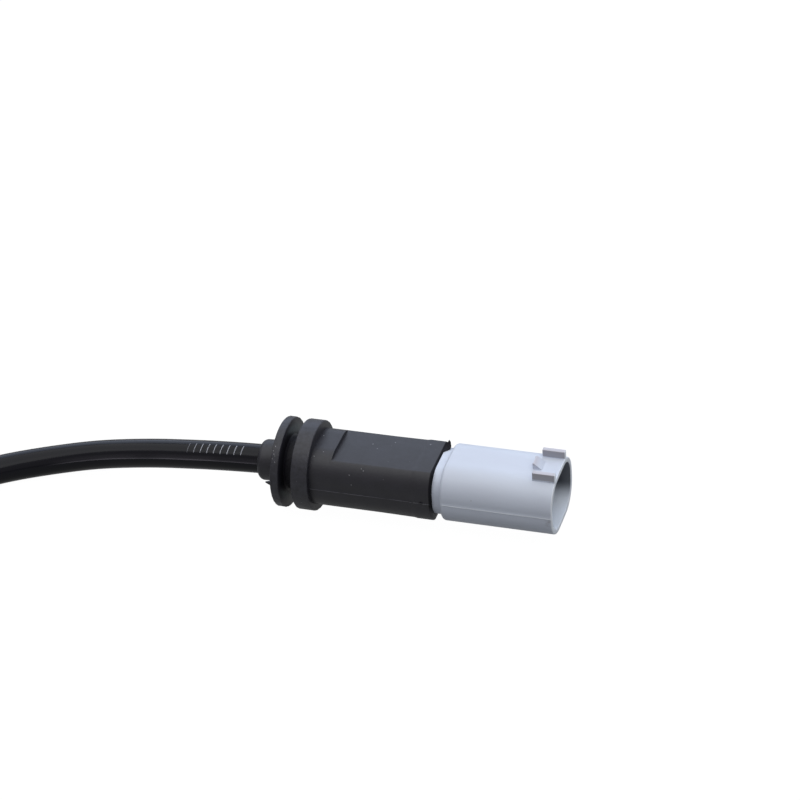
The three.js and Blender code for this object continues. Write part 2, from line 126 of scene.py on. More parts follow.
def make_active(piece: bpy.types.Object) -> None:
    """Selects one object alone and makes it the active one.

    Args:
        piece: The object to work on.
    """
    start_clean()
    piece.select_set(True)
    bpy.context.view_layer.objects.active = piece


def apply_place(piece: bpy.types.Object) -> None:
    """Moves an object's place, turn and scale into its mesh.

    Args:
        piece: The object to bring to the origin.
    """
    make_active(piece)
    bpy.ops.object.transform_apply(location=True, rotation=True, scale=True)


class Editing:
    """Edit mode on one piece, with moves in millimetres."""

    def __init__(self, piece: bpy.types.Object) -> None:
        """Keeps the piece to edit.

        Args:
            piece: A mesh object at the origin.
        """
        self.piece = piece

    def __enter__(self) -> "Editing":
        """Enters edit mode with nothing selected.

        Returns:
            This object.
        """
        make_active(self.piece)
        bpy.ops.object.mode_set(mode="EDIT")
        bpy.ops.mesh.select_all(action="DESELECT")
        return self

    def __exit__(self, *_: object) -> None:
        """Leaves edit mode."""
        start_clean()

    def pick(self, kind: Pick, test: Callable[[Vector, object], bool]) -> int:
        """Selects the elements that pass a test.

        Args:
            kind: Vertices, edges or faces.
            test: Takes an element's middle in millimetres and the element itself.

        Returns:
            How many elements are selected.
        """
        bpy.context.tool_settings.mesh_select_mode = [kind.value == i for i in range(3)]
        bpy.ops.mesh.select_all(action="DESELECT")
        mesh = bmesh.from_edit_mesh(self.piece.data)
        mesh.select_mode = {("VERT", "EDGE", "FACE")[kind.value]}
        elements = (mesh.verts, mesh.edges, mesh.faces)[kind.value]
        chosen = [element for element in elements if test(self.middle(element), element)]
        for element in chosen:
            element.select_set(True)
        mesh.select_flush_mode()
        bmesh.update_edit_mesh(self.piece.data)
        return len(chosen)

    @staticmethod
    def middle(element: object) -> Vector:
        """Finds an element's middle.

        Args:
            element: A vertex, an edge or a face.

        Returns:
            Its middle in millimetres.
        """
        if isinstance(element, bmesh.types.BMVert):
            return element.co / MM
        if isinstance(element, bmesh.types.BMEdge):
            return (element.verts[0].co + element.verts[1].co) / (2 * MM)
        return element.calc_center_median() / MM

    def pick_all(self) -> None:
        """Selects everything."""
        bpy.ops.mesh.select_all(action="SELECT")

    def extrude(self, x: float) -> None:
        """Extrudes the selection along X."""
        bpy.ops.mesh.extrude_region_move(TRANSFORM_OT_translate={"value": (x * MM, 0, 0)})

    def move(self, x: float = 0, y: float = 0, z: float = 0) -> None:
        """Moves the selection by a step."""
        bpy.ops.transform.translate(value=(x * MM, y * MM, z * MM))

    def scale(self, factors: Place, centre: Place) -> None:
        """Scales the selection about a point.

        Args:
            factors: Scale along X, Y and Z.
            centre: The fixed point.
        """
        bpy.ops.transform.resize(value=factors, center_override=[c * MM for c in centre])

    def inset(self, wall: float) -> None:
        """Insets the selected faces by a wall."""
        bpy.ops.mesh.inset(thickness=wall * MM, depth=0, use_even_offset=True, use_boundary=True)

    def bevel(self, width: float, steps: int, kind: Pick = Pick.EDGES) -> None:
        """Rounds the selected edges or corners.

        Args:
            width: Radius of the rounding.
            steps: Number of its segments.
            kind: Edges, or vertices for the corners of an outline.
        """
        bpy.ops.mesh.bevel(offset=width * MM, offset_type="OFFSET", segments=steps, profile=0.5,
                           affect=kind.name, clamp_overlap=True)

    def bisect(self, place: Place, normal: Place, clear_outer: bool = False) -> None:
        """Cuts everything along a plane.

        Args:
            place: A point of the plane.
            normal: The plane's normal.
            clear_outer: Whether what lies on the normal's side goes.
        """
        self.pick_all()
        bpy.ops.mesh.bisect(plane_co=[p * MM for p in place], plane_no=normal,
                            clear_outer=clear_outer, threshold=WELD * MM)

    def raise_seam(self, at: float, height: float, side: float) -> None:
        """Raises a parting line along both sides of a solid.

        Args:
            at: Height of the line.
            height: How far it stands out.
            side: Distance across from which a vertex counts as being on a side.
        """
        for step in SEAM_STEPS:
            self.bisect((0, 0, at + step), (0, 0, 1))
        for way in (-1, 1):
            self.pick(Pick.VERTICES, lambda p, _: way * p.y > side and abs(p.z - at) < NEAR)
            self.move(y=way * height)

    def roughen(self, reach: float, seed: int) -> None:
        """Moves the selected vertices a little, each its own way.

        Args:
            reach: The largest move.
            seed: Seed of the random moves.
        """
        bpy.ops.transform.vertex_random(offset=reach * MM, uniform=1.0, normal=0.0, seed=seed)

    def close_up(self) -> None:
        """Merges doubled vertices and turns every face outwards."""
        self.pick_all()
        bpy.ops.mesh.remove_doubles(threshold=WELD * MM)
        bpy.ops.mesh.normals_make_consistent(inside=False)


class Bench:
    """Starts of pieces, made from primitives, and ways to put solids together.

    FLAT_ANGLE is the largest angle in degrees between faces that count as one, and EDGE_ANGLE the
    smallest between faces whose edge is rounded.
    """

    FLAT_ANGLE = 0.5
    EDGE_ANGLE = 35

    @staticmethod
    def outline(name: str, x: float, half_width: float, half_height: float, corner: float,
                steps: int) -> bpy.types.Object:
        """Makes a flat oval face across the X axis.

        Args:
            name: Name of the object.
            x: Place along X.
            half_width: Half of the size along Y.
            half_height: Half of the size along Z.
            corner: Radius of the corners.
            steps: Segments of each corner.

        Returns:
            The object with one face.
        """
        start_clean()
        bpy.ops.mesh.primitive_plane_add(size=2 * MM, location=(x * MM, 0, 0), rotation=(0, math.pi / 2, 0))
        piece = bpy.context.object
        piece.name = name
        apply_place(piece)
        with Editing(piece) as edit:
            edit.pick_all()
            edit.scale((1, half_width, half_height), (x, 0, 0))
            edit.bevel(corner, steps, Pick.VERTICES)
        return piece

    @staticmethod
    def prism(name: str, section: tuple[float, float, float], start: float, end: float,
              steps: int = 12) -> bpy.types.Object:
        """Makes a solid of one oval section along X.

        Args:
            name: Name of the object.
            section: Half width, half height and corner radius.
            start: Its lowest X.
            end: Its highest X.
            steps: Segments of each corner.

        Returns:
            The closed solid.
        """
        piece = Bench.outline(name, start, *section, steps=steps)
        with Editing(piece) as edit:
            edit.pick_all()
            edit.extrude(x=end - start)
            edit.close_up()
        return piece

    @staticmethod
    def turned(name: str, rings: Sequence[tuple[float, float]], segments: int) -> bpy.types.Object:
        """Makes a solid of revolution about X from a disc that is extruded and scaled again and again.

        Args:
            name: Name of the object.
            rings: Places along X with the radius there.
            segments: Vertices around.

        Returns:
            The closed solid.
        """
        start_clean()
        x, radius = rings[0]
        bpy.ops.mesh.primitive_circle_add(vertices=segments, radius=radius * MM, fill_type="NGON",
                                          location=(x * MM, 0, 0), rotation=(0, math.pi / 2, 0))
        piece = bpy.context.object
        piece.name = name
        apply_place(piece)
        with Editing(piece) as edit:
            bpy.context.tool_settings.mesh_select_mode = (False, False, True)
            edit.pick_all()
            for next_x, next_radius in rings[1:]:
                edit.extrude(x=next_x - x)
                share = next_radius / radius
                edit.scale((1, share, share), (next_x, 0, 0))
                x, radius = next_x, next_radius
            edit.close_up()
        return piece

    @staticmethod
    def block(name: str, low: Place, high: Place) -> bpy.types.Object:
        """Makes a block between two corners.

        Args:
            name: Name of the object.
            low: Its lowest corner.
            high: Its highest corner.

        Returns:
            The block.
        """
        start_clean()
        bpy.ops.mesh.primitive_cube_add(size=MM, location=[(a + b) / 2 * MM for a, b in zip(low, high)])
        piece = bpy.context.object
        piece.name = name
        piece.scale = [b - a for a, b in zip(low, high)]
        apply_place(piece)
        return piece

    @staticmethod
    def combine(base: bpy.types.Object, other: bpy.types.Object, how: Join) -> None:
        """Joins a solid to another or cuts it out, and removes it.

        Args:
            base: The solid that stays.
            other: The solid that goes.
            how: Whether it is added or cut.
        """
        make_active(base)
        modifier = base.modifiers.new("combine", "BOOLEAN")
        modifier.operation = how.value
        modifier.solver = "EXACT"
        modifier.object = other
        bpy.ops.object.modifier_apply(modifier=modifier.name)
        bpy.data.objects.remove(other)

    @staticmethod
    def refined(node: str, name: str, rounding: float, steps: int = 3) -> bpy.types.Object:
        """Copies a frame node and rounds its edges.

        Args:
            node: The node in the frame.
            name: Name of the new piece.
            rounding: Radius at its edges.
            steps: Segments of the rounding.

        Returns:
            The new piece.
        """
        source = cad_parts[node]
        piece = bpy.data.objects.new(name, source.data.copy())
        bpy.context.scene.collection.objects.link(piece)
        with Editing(piece) as edit:
            edit.pick_all()
            bpy.ops.mesh.customdata_custom_splitnormals_clear()
            bpy.ops.mesh.remove_doubles(threshold=2 * WELD * MM)
            bpy.ops.mesh.dissolve_limited(angle_limit=math.radians(Bench.FLAT_ANGLE))
        make_active(piece)
        modifier = piece.modifiers.new("rounding", "BEVEL")
        modifier.width = rounding * MM
        modifier.segments = steps
        modifier.limit_method = "ANGLE"
        modifier.angle_limit = math.radians(Bench.EDGE_ANGLE)
        modifier.harden_normals = False
        bpy.ops.object.modifier_apply(modifier=modifier.name)
        piece.data.materials.clear()
        return piece

    @staticmethod
    def arc(centre: tuple[float, float], radius: float, start: float, end: float,
            steps: int) -> list[tuple[float, float]]:
        """Lists points of an arc in a profile.

        Args:
            centre: Place along X and radius of the arc's centre.
            radius: The arc's own radius.
            start: Start angle in degrees, from +X towards larger radii.
            end: End angle in degrees.
            steps: Number of segments.

        Returns:
            The points from start to end.
        """
        angles = [math.radians(start + (end - start) * i / steps) for i in range(steps + 1)]
        return [(centre[0] + radius * math.cos(a), centre[1] + radius * math.sin(a)) for a in angles]

    @staticmethod
    def hand_over(piece: bpy.types.Object, finish: bpy.types.Material, slot: Slot, *nodes: str,
                  smooth_angle: float = 32) -> bpy.types.Object:
        """Smooths a finished piece, dresses it and ties it to the frame.

        Args:
            piece: The piece in its final place.
            finish: Its material.
            slot: The record's slot of that material; not used.
            nodes: The frame's nodes that it stands for.
            smooth_angle: Faces that meet at less than this many degrees look smooth.

        Returns:
            The same piece.
        """
        apply_place(piece)
        if piece.type == "MESH":
            bpy.ops.object.shade_smooth_by_angle(angle=math.radians(smooth_angle))
        piece.data.materials.clear()
        piece.data.materials.append(finish)
        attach(piece, BODY)
        if nodes:
            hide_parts(*nodes)
        LOG.info("%s: %d faces", piece.name, len(piece.data.polygons))
        return piece


class Wire:
    """A shader socket that takes part in arithmetic."""

    def __init__(self, graph: "Graph", socket: bpy.types.NodeSocket) -> None:
        """Keeps the socket and its graph."""
        self.graph = graph
        self.socket = socket

    def maths(self, operation: str, *others: "Wire | float") -> "Wire":
        """Adds a Math node on this wire and others.

        Args:
            operation: The Math node's operation.
            others: The further inputs, in order.

        Returns:
            The node's result.
        """
        sockets = dict(enumerate([self, *others]))
        return self.graph.node("ShaderNodeMath", {"operation": operation}, sockets)

    def __add__(self, other: "Wire | float") -> "Wire":
        """Returns the sum."""
        return self.maths("ADD", other)

    __radd__ = __add__

    def __mul__(self, other: "Wire | float") -> "Wire":
        """Returns the product."""
        return self.maths("MULTIPLY", other)

    __rmul__ = __mul__

    def __sub__(self, other: "Wire | float") -> "Wire":
        """Returns the difference."""
        return self.maths("SUBTRACT", other)

    def __rsub__(self, other: float) -> "Wire":
        """Returns a number less this wire."""
        return self * -1 + other

    def __truediv__(self, other: "Wire | float") -> "Wire":
        """Returns the quotient."""
        return self.maths("DIVIDE", other)

    def __abs__(self) -> "Wire":
        """Returns the size without its sign."""
        return self.maths("ABSOLUTE")

    def below(self, limit: "Wire | float") -> "Wire":
        """Returns 1 where this is less than a limit."""
        return self.maths("LESS_THAN", limit)

    def above(self, limit: "Wire | float") -> "Wire":
        """Returns 1 where this is more than a limit."""
        return self.maths("GREATER_THAN", limit)

    def either(self, other: "Wire | float") -> "Wire":
        """Returns the larger of two masks."""
        return self.maths("MAXIMUM", other)

    @staticmethod
    def any_of(masks: Iterable["Wire"]) -> "Wire":
        """Returns the largest of several masks."""
        return reduce(Wire.either, masks)

    def off(self, place: float) -> "Wire":
        """Returns the distance from a place in millimetres."""
        return abs(self - place * MM)

    def fade(self, start: float, end: float) -> "Wire":
        """Returns 0 at start, 1 at end and a smooth run between them."""
        sockets = {"Value": self, "From Min": start, "From Max": end}
        return self.graph.node("ShaderNodeMapRange", {"interpolation_type": "SMOOTHSTEP"}, sockets)


class Graph:
    """The node graph of one material or world. Its class constant is the black of painted shade."""

    PAINTED_SHADE_BLACK = (*srgb(14, 14, 18), 1)

    def __init__(self, owner: bpy.types.Material | bpy.types.World, output: str) -> None:
        """Empties the owner's graph and adds its output.

        Args:
            owner: The material or world.
            output: Type of its output node.
        """
        owner.use_nodes = True
        self.owner = owner
        self.tree = owner.node_tree
        self.tree.nodes.clear()
        self.output = self.tree.nodes.new(output)

    @classmethod
    def of_material(cls, name: str) -> "Graph":
        """Starts the graph of a new material."""
        return cls(bpy.data.materials.new(name), "ShaderNodeOutputMaterial")

    def show(self, shader: Wire) -> None:
        """Links a shader to the output."""
        self.tree.links.new(shader.socket, self.output.inputs["Surface"])

    def node(self, kind: str, settings: dict | None = None, sockets: dict | None = None,
             output: int | str = 0) -> Wire:
        """Adds a node.

        Args:
            kind: The node's type.
            settings: Properties that are set first.
            sockets: Values or wires of its inputs.
            output: The output to return.

        Returns:
            The chosen output.
        """
        made = self.tree.nodes.new(kind)
        for name, value in (settings or {}).items():
            setattr(made, name, value)
        for name, value in (sockets or {}).items():
            if isinstance(value, Wire):
                self.tree.links.new(value.socket, made.inputs[name])
            else:
                made.inputs[name].default_value = value
        return Wire(self, made.outputs[output])

    def place(self) -> Wire:
        """Returns the object coordinates, in metres."""
        return self.node("ShaderNodeTexCoord", output="Object")

    def axes(self) -> list[Wire]:
        """Returns the object coordinates along X, Y and Z, in metres."""
        parts = self.node("ShaderNodeSeparateXYZ", None, {0: self.place()})
        return [Wire(self, socket) for socket in parts.socket.node.outputs]

    def reach(self, axis_height: float, middle: tuple[float, float] = (0.0, 0.0)) -> Wire:
        """Measures how far a point is from the plug's axis, or from an oval's straight middle.

        Args:
            axis_height: Height of the axis in millimetres.
            middle: Half width and half height of the oval between its corners' centres.

        Returns:
            The distance in metres.
        """
        _, across, height = self.axes()
        sides = [across.off(0) - middle[0] * MM, height.off(axis_height) - middle[1] * MM]
        wide, high = (side.maths("MAXIMUM", 0.0) for side in sides)
        return (wide * wide + high * high).maths("SQRT")

    def side_line(self, at: float, half_width: float, reach: float) -> Wire:
        """Masks a level line along both sides of the plug.

        Args:
            at: Height of its middle in millimetres.
            half_width: Half of its width in millimetres.
            reach: Distance from the middle plane, in millimetres, from which it shows.

        Returns:
            A mask that is 1 on the line.
        """
        _, across, height = self.axes()
        return height.off(at).below(half_width * MM) * across.off(0).above(reach * MM)

    def gap(self, place: Place) -> Wire:
        """Returns the distance from a place that is given in metres."""
        sockets = {0: self.place(), 1: place}
        return self.node("ShaderNodeVectorMath", {"operation": "DISTANCE"}, sockets, "Value")

    def noise(self, size: float, detail: float = 3, roughness: float = 0.5,
              stretch: Place = (1, 1, 1)) -> Wire:
        """Adds a noise.

        Args:
            size: Size of its blotches in millimetres.
            detail: How many finer layers it has.
            roughness: How strong the finer layers are.
            stretch: Scale of the pattern along each axis.

        Returns:
            Its value from 0 to 1.
        """
        vector = self.place()
        if stretch != (1, 1, 1):
            vector = self.node("ShaderNodeMapping", {"vector_type": "POINT"},
                               {"Vector": vector, "Scale": stretch})
        sockets = {"Vector": vector, "Scale": 1 / (size * MM), "Detail": detail, "Roughness": roughness}
        return self.node("ShaderNodeTexNoise", {"noise_dimensions": "3D"}, sockets)

    def specks(self, spacing: float, radius: float, share: float) -> Wire:
        """Scatters small round specks.

        Args:
            spacing: Size in millimetres of the cells that may hold a speck.
            radius: Radius of a speck in millimetres.
            share: The share of cells that hold one.

        Returns:
            A mask that is 1 on the specks.
        """
        sockets = {"Vector": self.place(), "Scale": 1 / (spacing * MM)}
        settings = {"voronoi_dimensions": "3D", "feature": "F1"}
        cells = self.node("ShaderNodeTexVoronoi", settings, sockets, "Distance")
        colour = Wire(self, cells.socket.node.outputs["Color"])
        lot = self.node("ShaderNodeSeparateColor", None, {0: colour})
        size = Wire(self, lot.socket.node.outputs[1])
        return cells.below(size * (radius / spacing)) * lot.below(share)

    def spots(self, places: Sequence[Place], radius: float) -> Wire:
        """Puts round spots at chosen places.

        Args:
            places: Their middles in metres.
            radius: Their radius in millimetres.

        Returns:
            A mask that is 1 in the spots.
        """
        wobble = self.noise(radius, 1)
        return Wire.any_of(self.gap(place).below(wobble * (2 * radius * MM)) for place in places)

    def mix(self, share: "Wire | float", first: "Wire | Colour", second: "Wire | Colour") -> Wire:
        """Mixes two colours.

        Args:
            share: How much of the second.
            first: The first colour.
            second: The second colour.

        Returns:
            The mixed colour.
        """
        first, second = ((*c, 1) if isinstance(c, tuple) else c for c in (first, second))
        return self.node("ShaderNodeMix", {"data_type": "RGBA"}, {0: share, 6: first, 7: second}, 2)

    def bump(self, height: Wire, depth: float) -> Wire:
        """Turns a height into a normal.

        Args:
            height: Height from 0 to 1.
            depth: What 1 stands for, in millimetres.

        Returns:
            The bent normal.
        """
        sockets = {"Height": height, "Distance": depth * MM, "Strength": 1.0}
        return self.node("ShaderNodeBump", None, sockets)

    def surface(self, **sockets: object) -> bpy.types.Material:
        """Adds the shader and closes the graph.

        Args:
            sockets: The shader's inputs, with _ for a space in their names, and a mask of painted shade.

        Returns:
            The finished material.
        """
        soot = sockets.pop("soot", None)
        named = {name.replace("_", " "): value for name, value in sockets.items()}
        for name, value in named.items():
            if isinstance(value, tuple) and len(value) == 3:
                named[name] = (*value, 1)
        shader = self.node("ShaderNodeBsdfPrincipled", None, named)
        if soot is not None:
            # Painted shade: a black matt shader is mixed in where the mask is 1.
            black = self.node("ShaderNodeBsdfDiffuse", None, {"Color": Graph.PAINTED_SHADE_BLACK})
            shader = self.node("ShaderNodeMixShader", None, {0: soot, 1: shader, 2: black})
        self.show(shader)
        return self.owner


@dataclass(frozen=True)
class Moulded:
    """Moulded plastic or rubber with grain, cloudy colour and dust."""

    name: str
    colour: Colour
    cloud: Colour
    roughness: float
    specular: float
    grain: float = 0.12
    relief: float = 0.012
    dust: float = 0.0
    dust_cells: tuple[tuple[float, float], ...] = ((1.1, 0.09), (0.6, 0.05))
    dust_colour: Colour = srgb(150, 150, 155)
    marks: tuple[Place, ...] = ()
    mark_radius: float = 0.07

    def tint(self, graph: Graph, colour: Wire) -> Wire:
        """Returns the colour unchanged; kinds with painted light change it."""
        return colour

    def soot(self, graph: Graph) -> Wire | None:
        """Returns no mask; kinds with painted shade return one."""
        return None

    def build(self) -> bpy.types.Material:
        """Builds the material.

        Returns:
            The material.
        """
        graph = Graph.of_material(self.name)
        cloud = graph.noise(3.0, 4, 0.6).fade(0.35, 0.7)
        colour = self.tint(graph, graph.mix(cloud, self.colour, self.cloud))
        fine = graph.noise(self.grain, 2, 0.6)
        swell = graph.noise(self.grain * 8, 2)
        rough = fine * 0.12 + (swell * 0.1 + (self.roughness - 0.11))
        masks = []
        if self.dust:
            masks += [graph.specks(spacing, radius, self.dust) for spacing, radius in self.dust_cells]
        if self.marks:
            masks.append(graph.spots(self.marks, self.mark_radius))
        if masks:
            colour = graph.mix(Wire.any_of(masks), colour, self.dust_colour)
        normal = graph.bump(fine * 0.6 + swell * 0.4, self.relief)
        return graph.surface(Base_Color=colour, Roughness=rough, Normal=normal,
                             Specular_IOR_Level=self.specular, soot=self.soot(graph))


@dataclass(frozen=True)
class BootRubber(Moulded):
    """Rubber with painted shade in its groove and on its end, painted light at the groove's top and bottom,
    painted highlights on the rims and a lighter parting line.
    """

    axis_height: float = 7.5
    groove: tuple[float, float] = (-20.16, -17.95)
    groove_depth: tuple[float, float] = (7.3, 5.6)
    end_face: float = 5.5
    end_blur: float = 0.15
    light_side: tuple[float, float] = (0.56, 0.83)
    groove_light: tuple[float, float] = (4.2, 5.4)
    # Shares of painted shade in the groove and on the end, and the painted light at the groove's top and
    # bottom.
    groove_painted_shade: float = 0.5
    lit_colour: Colour = srgb(74, 82, 86)
    end_light: tuple[float, float] = (-5.6, -3.9)
    end_painted_shade: float = 0.75
    rim: float = 7.4
    # Painted highlight on the flange rims.
    rim_highlight: Colour = srgb(52, 52, 61)
    rim_highlight_share: float = 0.6
    seam_height: float = 7.28
    seam_width: float = 0.07
    seam_share: float = 0.7
    seam_reach: float = 6.41
    seam_start: float = -15.0
    seam_colour: Colour = srgb(86, 86, 94)

    def tint(self, graph: Graph, colour: Wire) -> Wire:
        """Paints light on the groove's open ends and highlights on the rims, and lightens the parting line.

        Args:
            graph: The graph to work in.
            colour: The rubber's colour.

        Returns:
            The changed colour.
        """
        in_groove, lit = self.groove_masks(graph)
        # Painted light where the groove opens at its top and bottom.
        colour = graph.mix(in_groove * lit, colour, self.lit_colour)
        # Painted highlight on the flange rims, broken up by noise.
        patchy = graph.noise(0.8, 3, 0.6).fade(0.25, 0.7) * self.rim_highlight_share
        colour = graph.mix(patchy * graph.reach(self.axis_height).above(self.rim * MM), colour, self.rim_highlight)
        line = graph.side_line(self.seam_height, self.seam_width, self.seam_reach)
        broken = graph.noise(2.5, 2).fade(0.2, 0.6) * graph.axes()[0].above(self.seam_start * MM)
        return graph.mix(line * broken * self.seam_share, colour, self.seam_colour)

    def soot(self, graph: Graph) -> Wire:
        """Masks the painted shade in the groove and on the boot's end.

        Args:
            graph: The graph to work in.

        Returns:
            A mask that is 1 deep in them.
        """
        in_groove, lit = self.groove_masks(graph)
        end = graph.axes()[0].fade(self.end_face * MM, (self.end_face + self.end_blur) * MM)
        end = end * self.raised(graph).fade(self.end_light[0] * MM, self.end_light[1] * MM)
        # Painted shade: black in the groove away from its lit ends, and on the boot's end.
        return (in_groove * (1 - lit) * self.groove_painted_shade).either(end * self.end_painted_shade)

    def raised(self, graph: Graph) -> Wire:
        """Measures how far a point lies from the boot's axis towards the light.

        Args:
            graph: The graph to work in.

        Returns:
            The distance in metres, less than 0 on the side away from the light.
        """
        _, across, height = graph.axes()
        sideways, upwards = self.light_side
        return across * sideways + (height - self.axis_height * MM) * upwards

    def groove_masks(self, graph: Graph) -> tuple[Wire, Wire]:
        """Masks the groove, and the two ends of it that light comes in by.

        Args:
            graph: The graph to work in.

        Returns:
            A mask that is 1 deep in the groove, and one that is 1 at its top and bottom.
        """
        along = graph.axes()[0]
        low, high = self.groove
        outer, inner = self.groove_depth
        dark, bright = self.groove_light
        deep = graph.reach(self.axis_height).fade(outer * MM, inner * MM)
        in_groove = along.above(low * MM) * along.below(high * MM) * deep
        return in_groove, abs(self.raised(graph)).fade(dark * MM, bright * MM)


@dataclass(frozen=True)
class ShellPlastic:
    """Light blue-grey plastic with faint flow marks, a smudge at the rim, a few tiny spots, painted shade
    on the ribs' sides, and painted shade and light in the mouth.
    """

    colour: Colour = srgb(209, 216, 230)
    cloud: Colour = srgb(205, 211, 225)
    stain: Colour = srgb(120, 112, 108)
    roughness: float = 0.42
    rim_smudge: Place = (0.02605, -0.0067, 0.0068)
    spots: tuple[Place, ...] = ((0.01045, -0.00398, 0.01224), (0.0129, -0.00658, 0.00926))
    rim: float = 26.265
    axis_height: float = 7.67
    oval: tuple[float, float] = (2.12, 0.67)
    cavity: float = 4.1
    floor: float = 9.5
    rim_depth: float = 0.1
    dusk_depth: float = 3.2
    dusk_share: float = 0.15
    dusk_heights: tuple[float, float] = (-4.2, -1.2)
    # Painted shade deep in the mouth and on its upper wall, and painted light over its inside.
    cavity_painted_shade: Colour = srgb(25, 29, 42)
    cavity_painted_light: Colour = srgb(232, 240, 252)
    seam_height: float = 7.71
    seam_width: float = 0.06
    seam_reach: float = 6.73
    rim_colour: Colour = srgb(238, 243, 250)
    flat: float = 12.97
    side_places: tuple[float, ...] = (-3.655, -2.805, 2.945, 3.795)
    side_width: float = 0.03
    rib_heights: tuple[float, float] = (0.3, 1.1)
    # Painted shade on the ribs' upright sides.
    rib_side_painted_shade: Colour = srgb(162, 160, 168)
    rib_colour: Colour = srgb(196, 192, 200)

    def hollow(self, graph: Graph, colour: Wire) -> Wire:
        """Paints the mouth: painted shade towards its depth and its upper wall, painted light on its lower
        wall, and a lighter rim.

        Args:
            graph: The graph to work in.
            colour: The plastic's colour.

        Returns:
            The changed colour.
        """
        along, _, height = graph.axes()
        inside = graph.reach(self.axis_height, self.oval).below(self.cavity * MM)
        inside = inside * along.below((self.rim - self.rim_depth / 2) * MM) * along.above(self.floor * MM)
        edge = (self.rim - self.rim_depth) * MM
        depth = along.fade(edge, (self.rim - self.dusk_depth) * MM)
        upper = height.fade(*((self.axis_height + rise) * MM for rise in self.dusk_heights))
        colour = graph.mix(along.above(edge) * 0.8, colour, self.rim_colour)
        # Painted light over the mouth's inside.
        colour = graph.mix(inside, colour, self.cavity_painted_light)
        # Painted shade towards the mouth's depth and its upper wall.
        dark = inside * (depth * self.dusk_share + (1 - self.dusk_share)) * upper
        return graph.mix(dark, colour, self.cavity_painted_shade)

    def sides(self, graph: Graph) -> Wire:
        """Masks the upright sides of the ribs, which get painted shade.

        Args:
            graph: The graph to work in.

        Returns:
            A mask that is 1 on them.
        """
        _, across, height = graph.axes()
        sides = (across.off(place).below(self.side_width * MM) for place in self.side_places)
        return Wire.any_of(sides) * height.above(self.flat * MM)

    def build(self) -> bpy.types.Material:
        """Builds the material.

        Returns:
            The material.
        """
        graph = Graph.of_material("shell_plastic")
        flow = graph.noise(5.0, 3, 0.5, (0.35, 1, 1)).fade(0.3, 0.75)
        colour = graph.mix(flow, self.colour, self.cloud)
        close = graph.gap(self.rim_smudge).fade(1.3 * MM, 0.2 * MM)
        smudge = close * graph.noise(0.5, 4, 0.7).fade(0.4, 0.7)
        colour = graph.mix(smudge * 0.55, colour, self.stain)
        dirt = graph.spots(self.spots, 0.1).either(graph.specks(1.6, 0.07, 0.06))
        colour = graph.mix(dirt * 0.5, colour, self.stain)
        raised = graph.axes()[2].fade(*((self.flat + rise) * MM for rise in self.rib_heights))
        colour = graph.mix(raised * 0.8, colour, self.rib_colour)
        # Painted shade on the ribs' upright sides.
        colour = graph.mix(self.sides(graph) * 0.85, colour, self.rib_side_painted_shade)
        line = graph.side_line(self.seam_height, self.seam_width, self.seam_reach)
        colour = graph.mix(line * 0.7, colour, self.rim_colour)
        colour = self.hollow(graph, colour)
        fine = graph.noise(0.09, 2, 0.6)
        swell = graph.noise(1.2, 2)
        rough = fine * 0.08 + swell * 0.1 + (self.roughness - 0.09)
        normal = graph.bump(fine * 0.5 + swell * 0.5, 0.006)
        return graph.surface(Base_Color=colour, Roughness=rough, Normal=normal,
                             Specular_IOR_Level=0.4)


@dataclass(frozen=True)
class JacketGloss:
    """Glossy black cable jacket with a row of fine white strokes near the boot and a thin light line with a
    shallow groove along its first 40 mm.
    """

    colour: Colour = srgb(10, 10, 19)
    stroke_colour: Colour = srgb(158, 160, 168)
    line_colour: Colour = srgb(112, 108, 116)
    roughness: float = 0.16
    stroke_first: float = 2.3
    stroke_pitch: float = 1.19
    stroke_count: int = 9
    stroke_width: float = 0.14
    stroke_low: float = 0.12
    stroke_high: float = 0.235
    stroke_lean: float = 2.0
    line_at: float = 0.034
    line_core: float = 0.014
    line_halo: float = 0.07
    line_end: float = 40.0
    drawing: Place = (60, 40, 1)

    def build(self) -> bpy.types.Material:
        """Builds the material.

        Returns:
            The material.
        """
        graph = Graph.of_material("cable_jacket")
        uv = graph.node("ShaderNodeUVMap", {"uv_map": "along_and_around"})
        along = graph.node("ShaderNodeSeparateXYZ", None, {0: uv})
        around = Wire(graph, along.socket.node.outputs[1])
        lean = (around - self.stroke_low) * (self.stroke_lean * MM)
        shifted = (along + lean) / (self.stroke_pitch * MM) - (self.stroke_first / self.stroke_pitch - 0.5)
        within = abs(shifted.maths("FRACT") - 0.5).below(self.stroke_width / self.stroke_pitch / 2)
        counted = shifted.above(0) * shifted.below(self.stroke_count)
        high = around.above(self.stroke_low) * around.below(self.stroke_high)
        strokes = within * counted * high
        fading = shifted.fade(self.stroke_count + 1, self.stroke_count - 3)
        patchy = graph.noise(0.25, 2).fade(0.2, 0.45) * fading
        reaches = (self.line_core, self.line_halo)
        core, halo = (around.fade(self.line_at + reach, self.line_at) for reach in reaches)
        swell = graph.noise(7, 1).fade(0.3, 0.7) * 0.4 + 0.6
        line = (core * 0.75 + halo * 0.25) * swell * around.above(self.line_at)
        line = line * along.fade(self.line_end * MM, self.line_end * 0.75 * MM)
        colour = graph.mix(line, self.colour, self.line_colour)
        colour = graph.mix(strokes * patchy, colour, self.stroke_colour)
        stretched = graph.node("ShaderNodeMapping", None, {"Vector": uv, "Scale": self.drawing})
        sockets = {"Vector": stretched, "Scale": 1.0, "Detail": 2.0}
        drawn = graph.node("ShaderNodeTexNoise", {"noise_dimensions": "2D"}, sockets)
        rough = drawn * 0.12 + strokes * 0.2 + (self.roughness - 0.06)
        normal = graph.bump(drawn - line * 0.5, 0.01)
        return graph.surface(Base_Color=colour, Roughness=rough, Normal=normal,
                             Specular_IOR_Level=0.2)


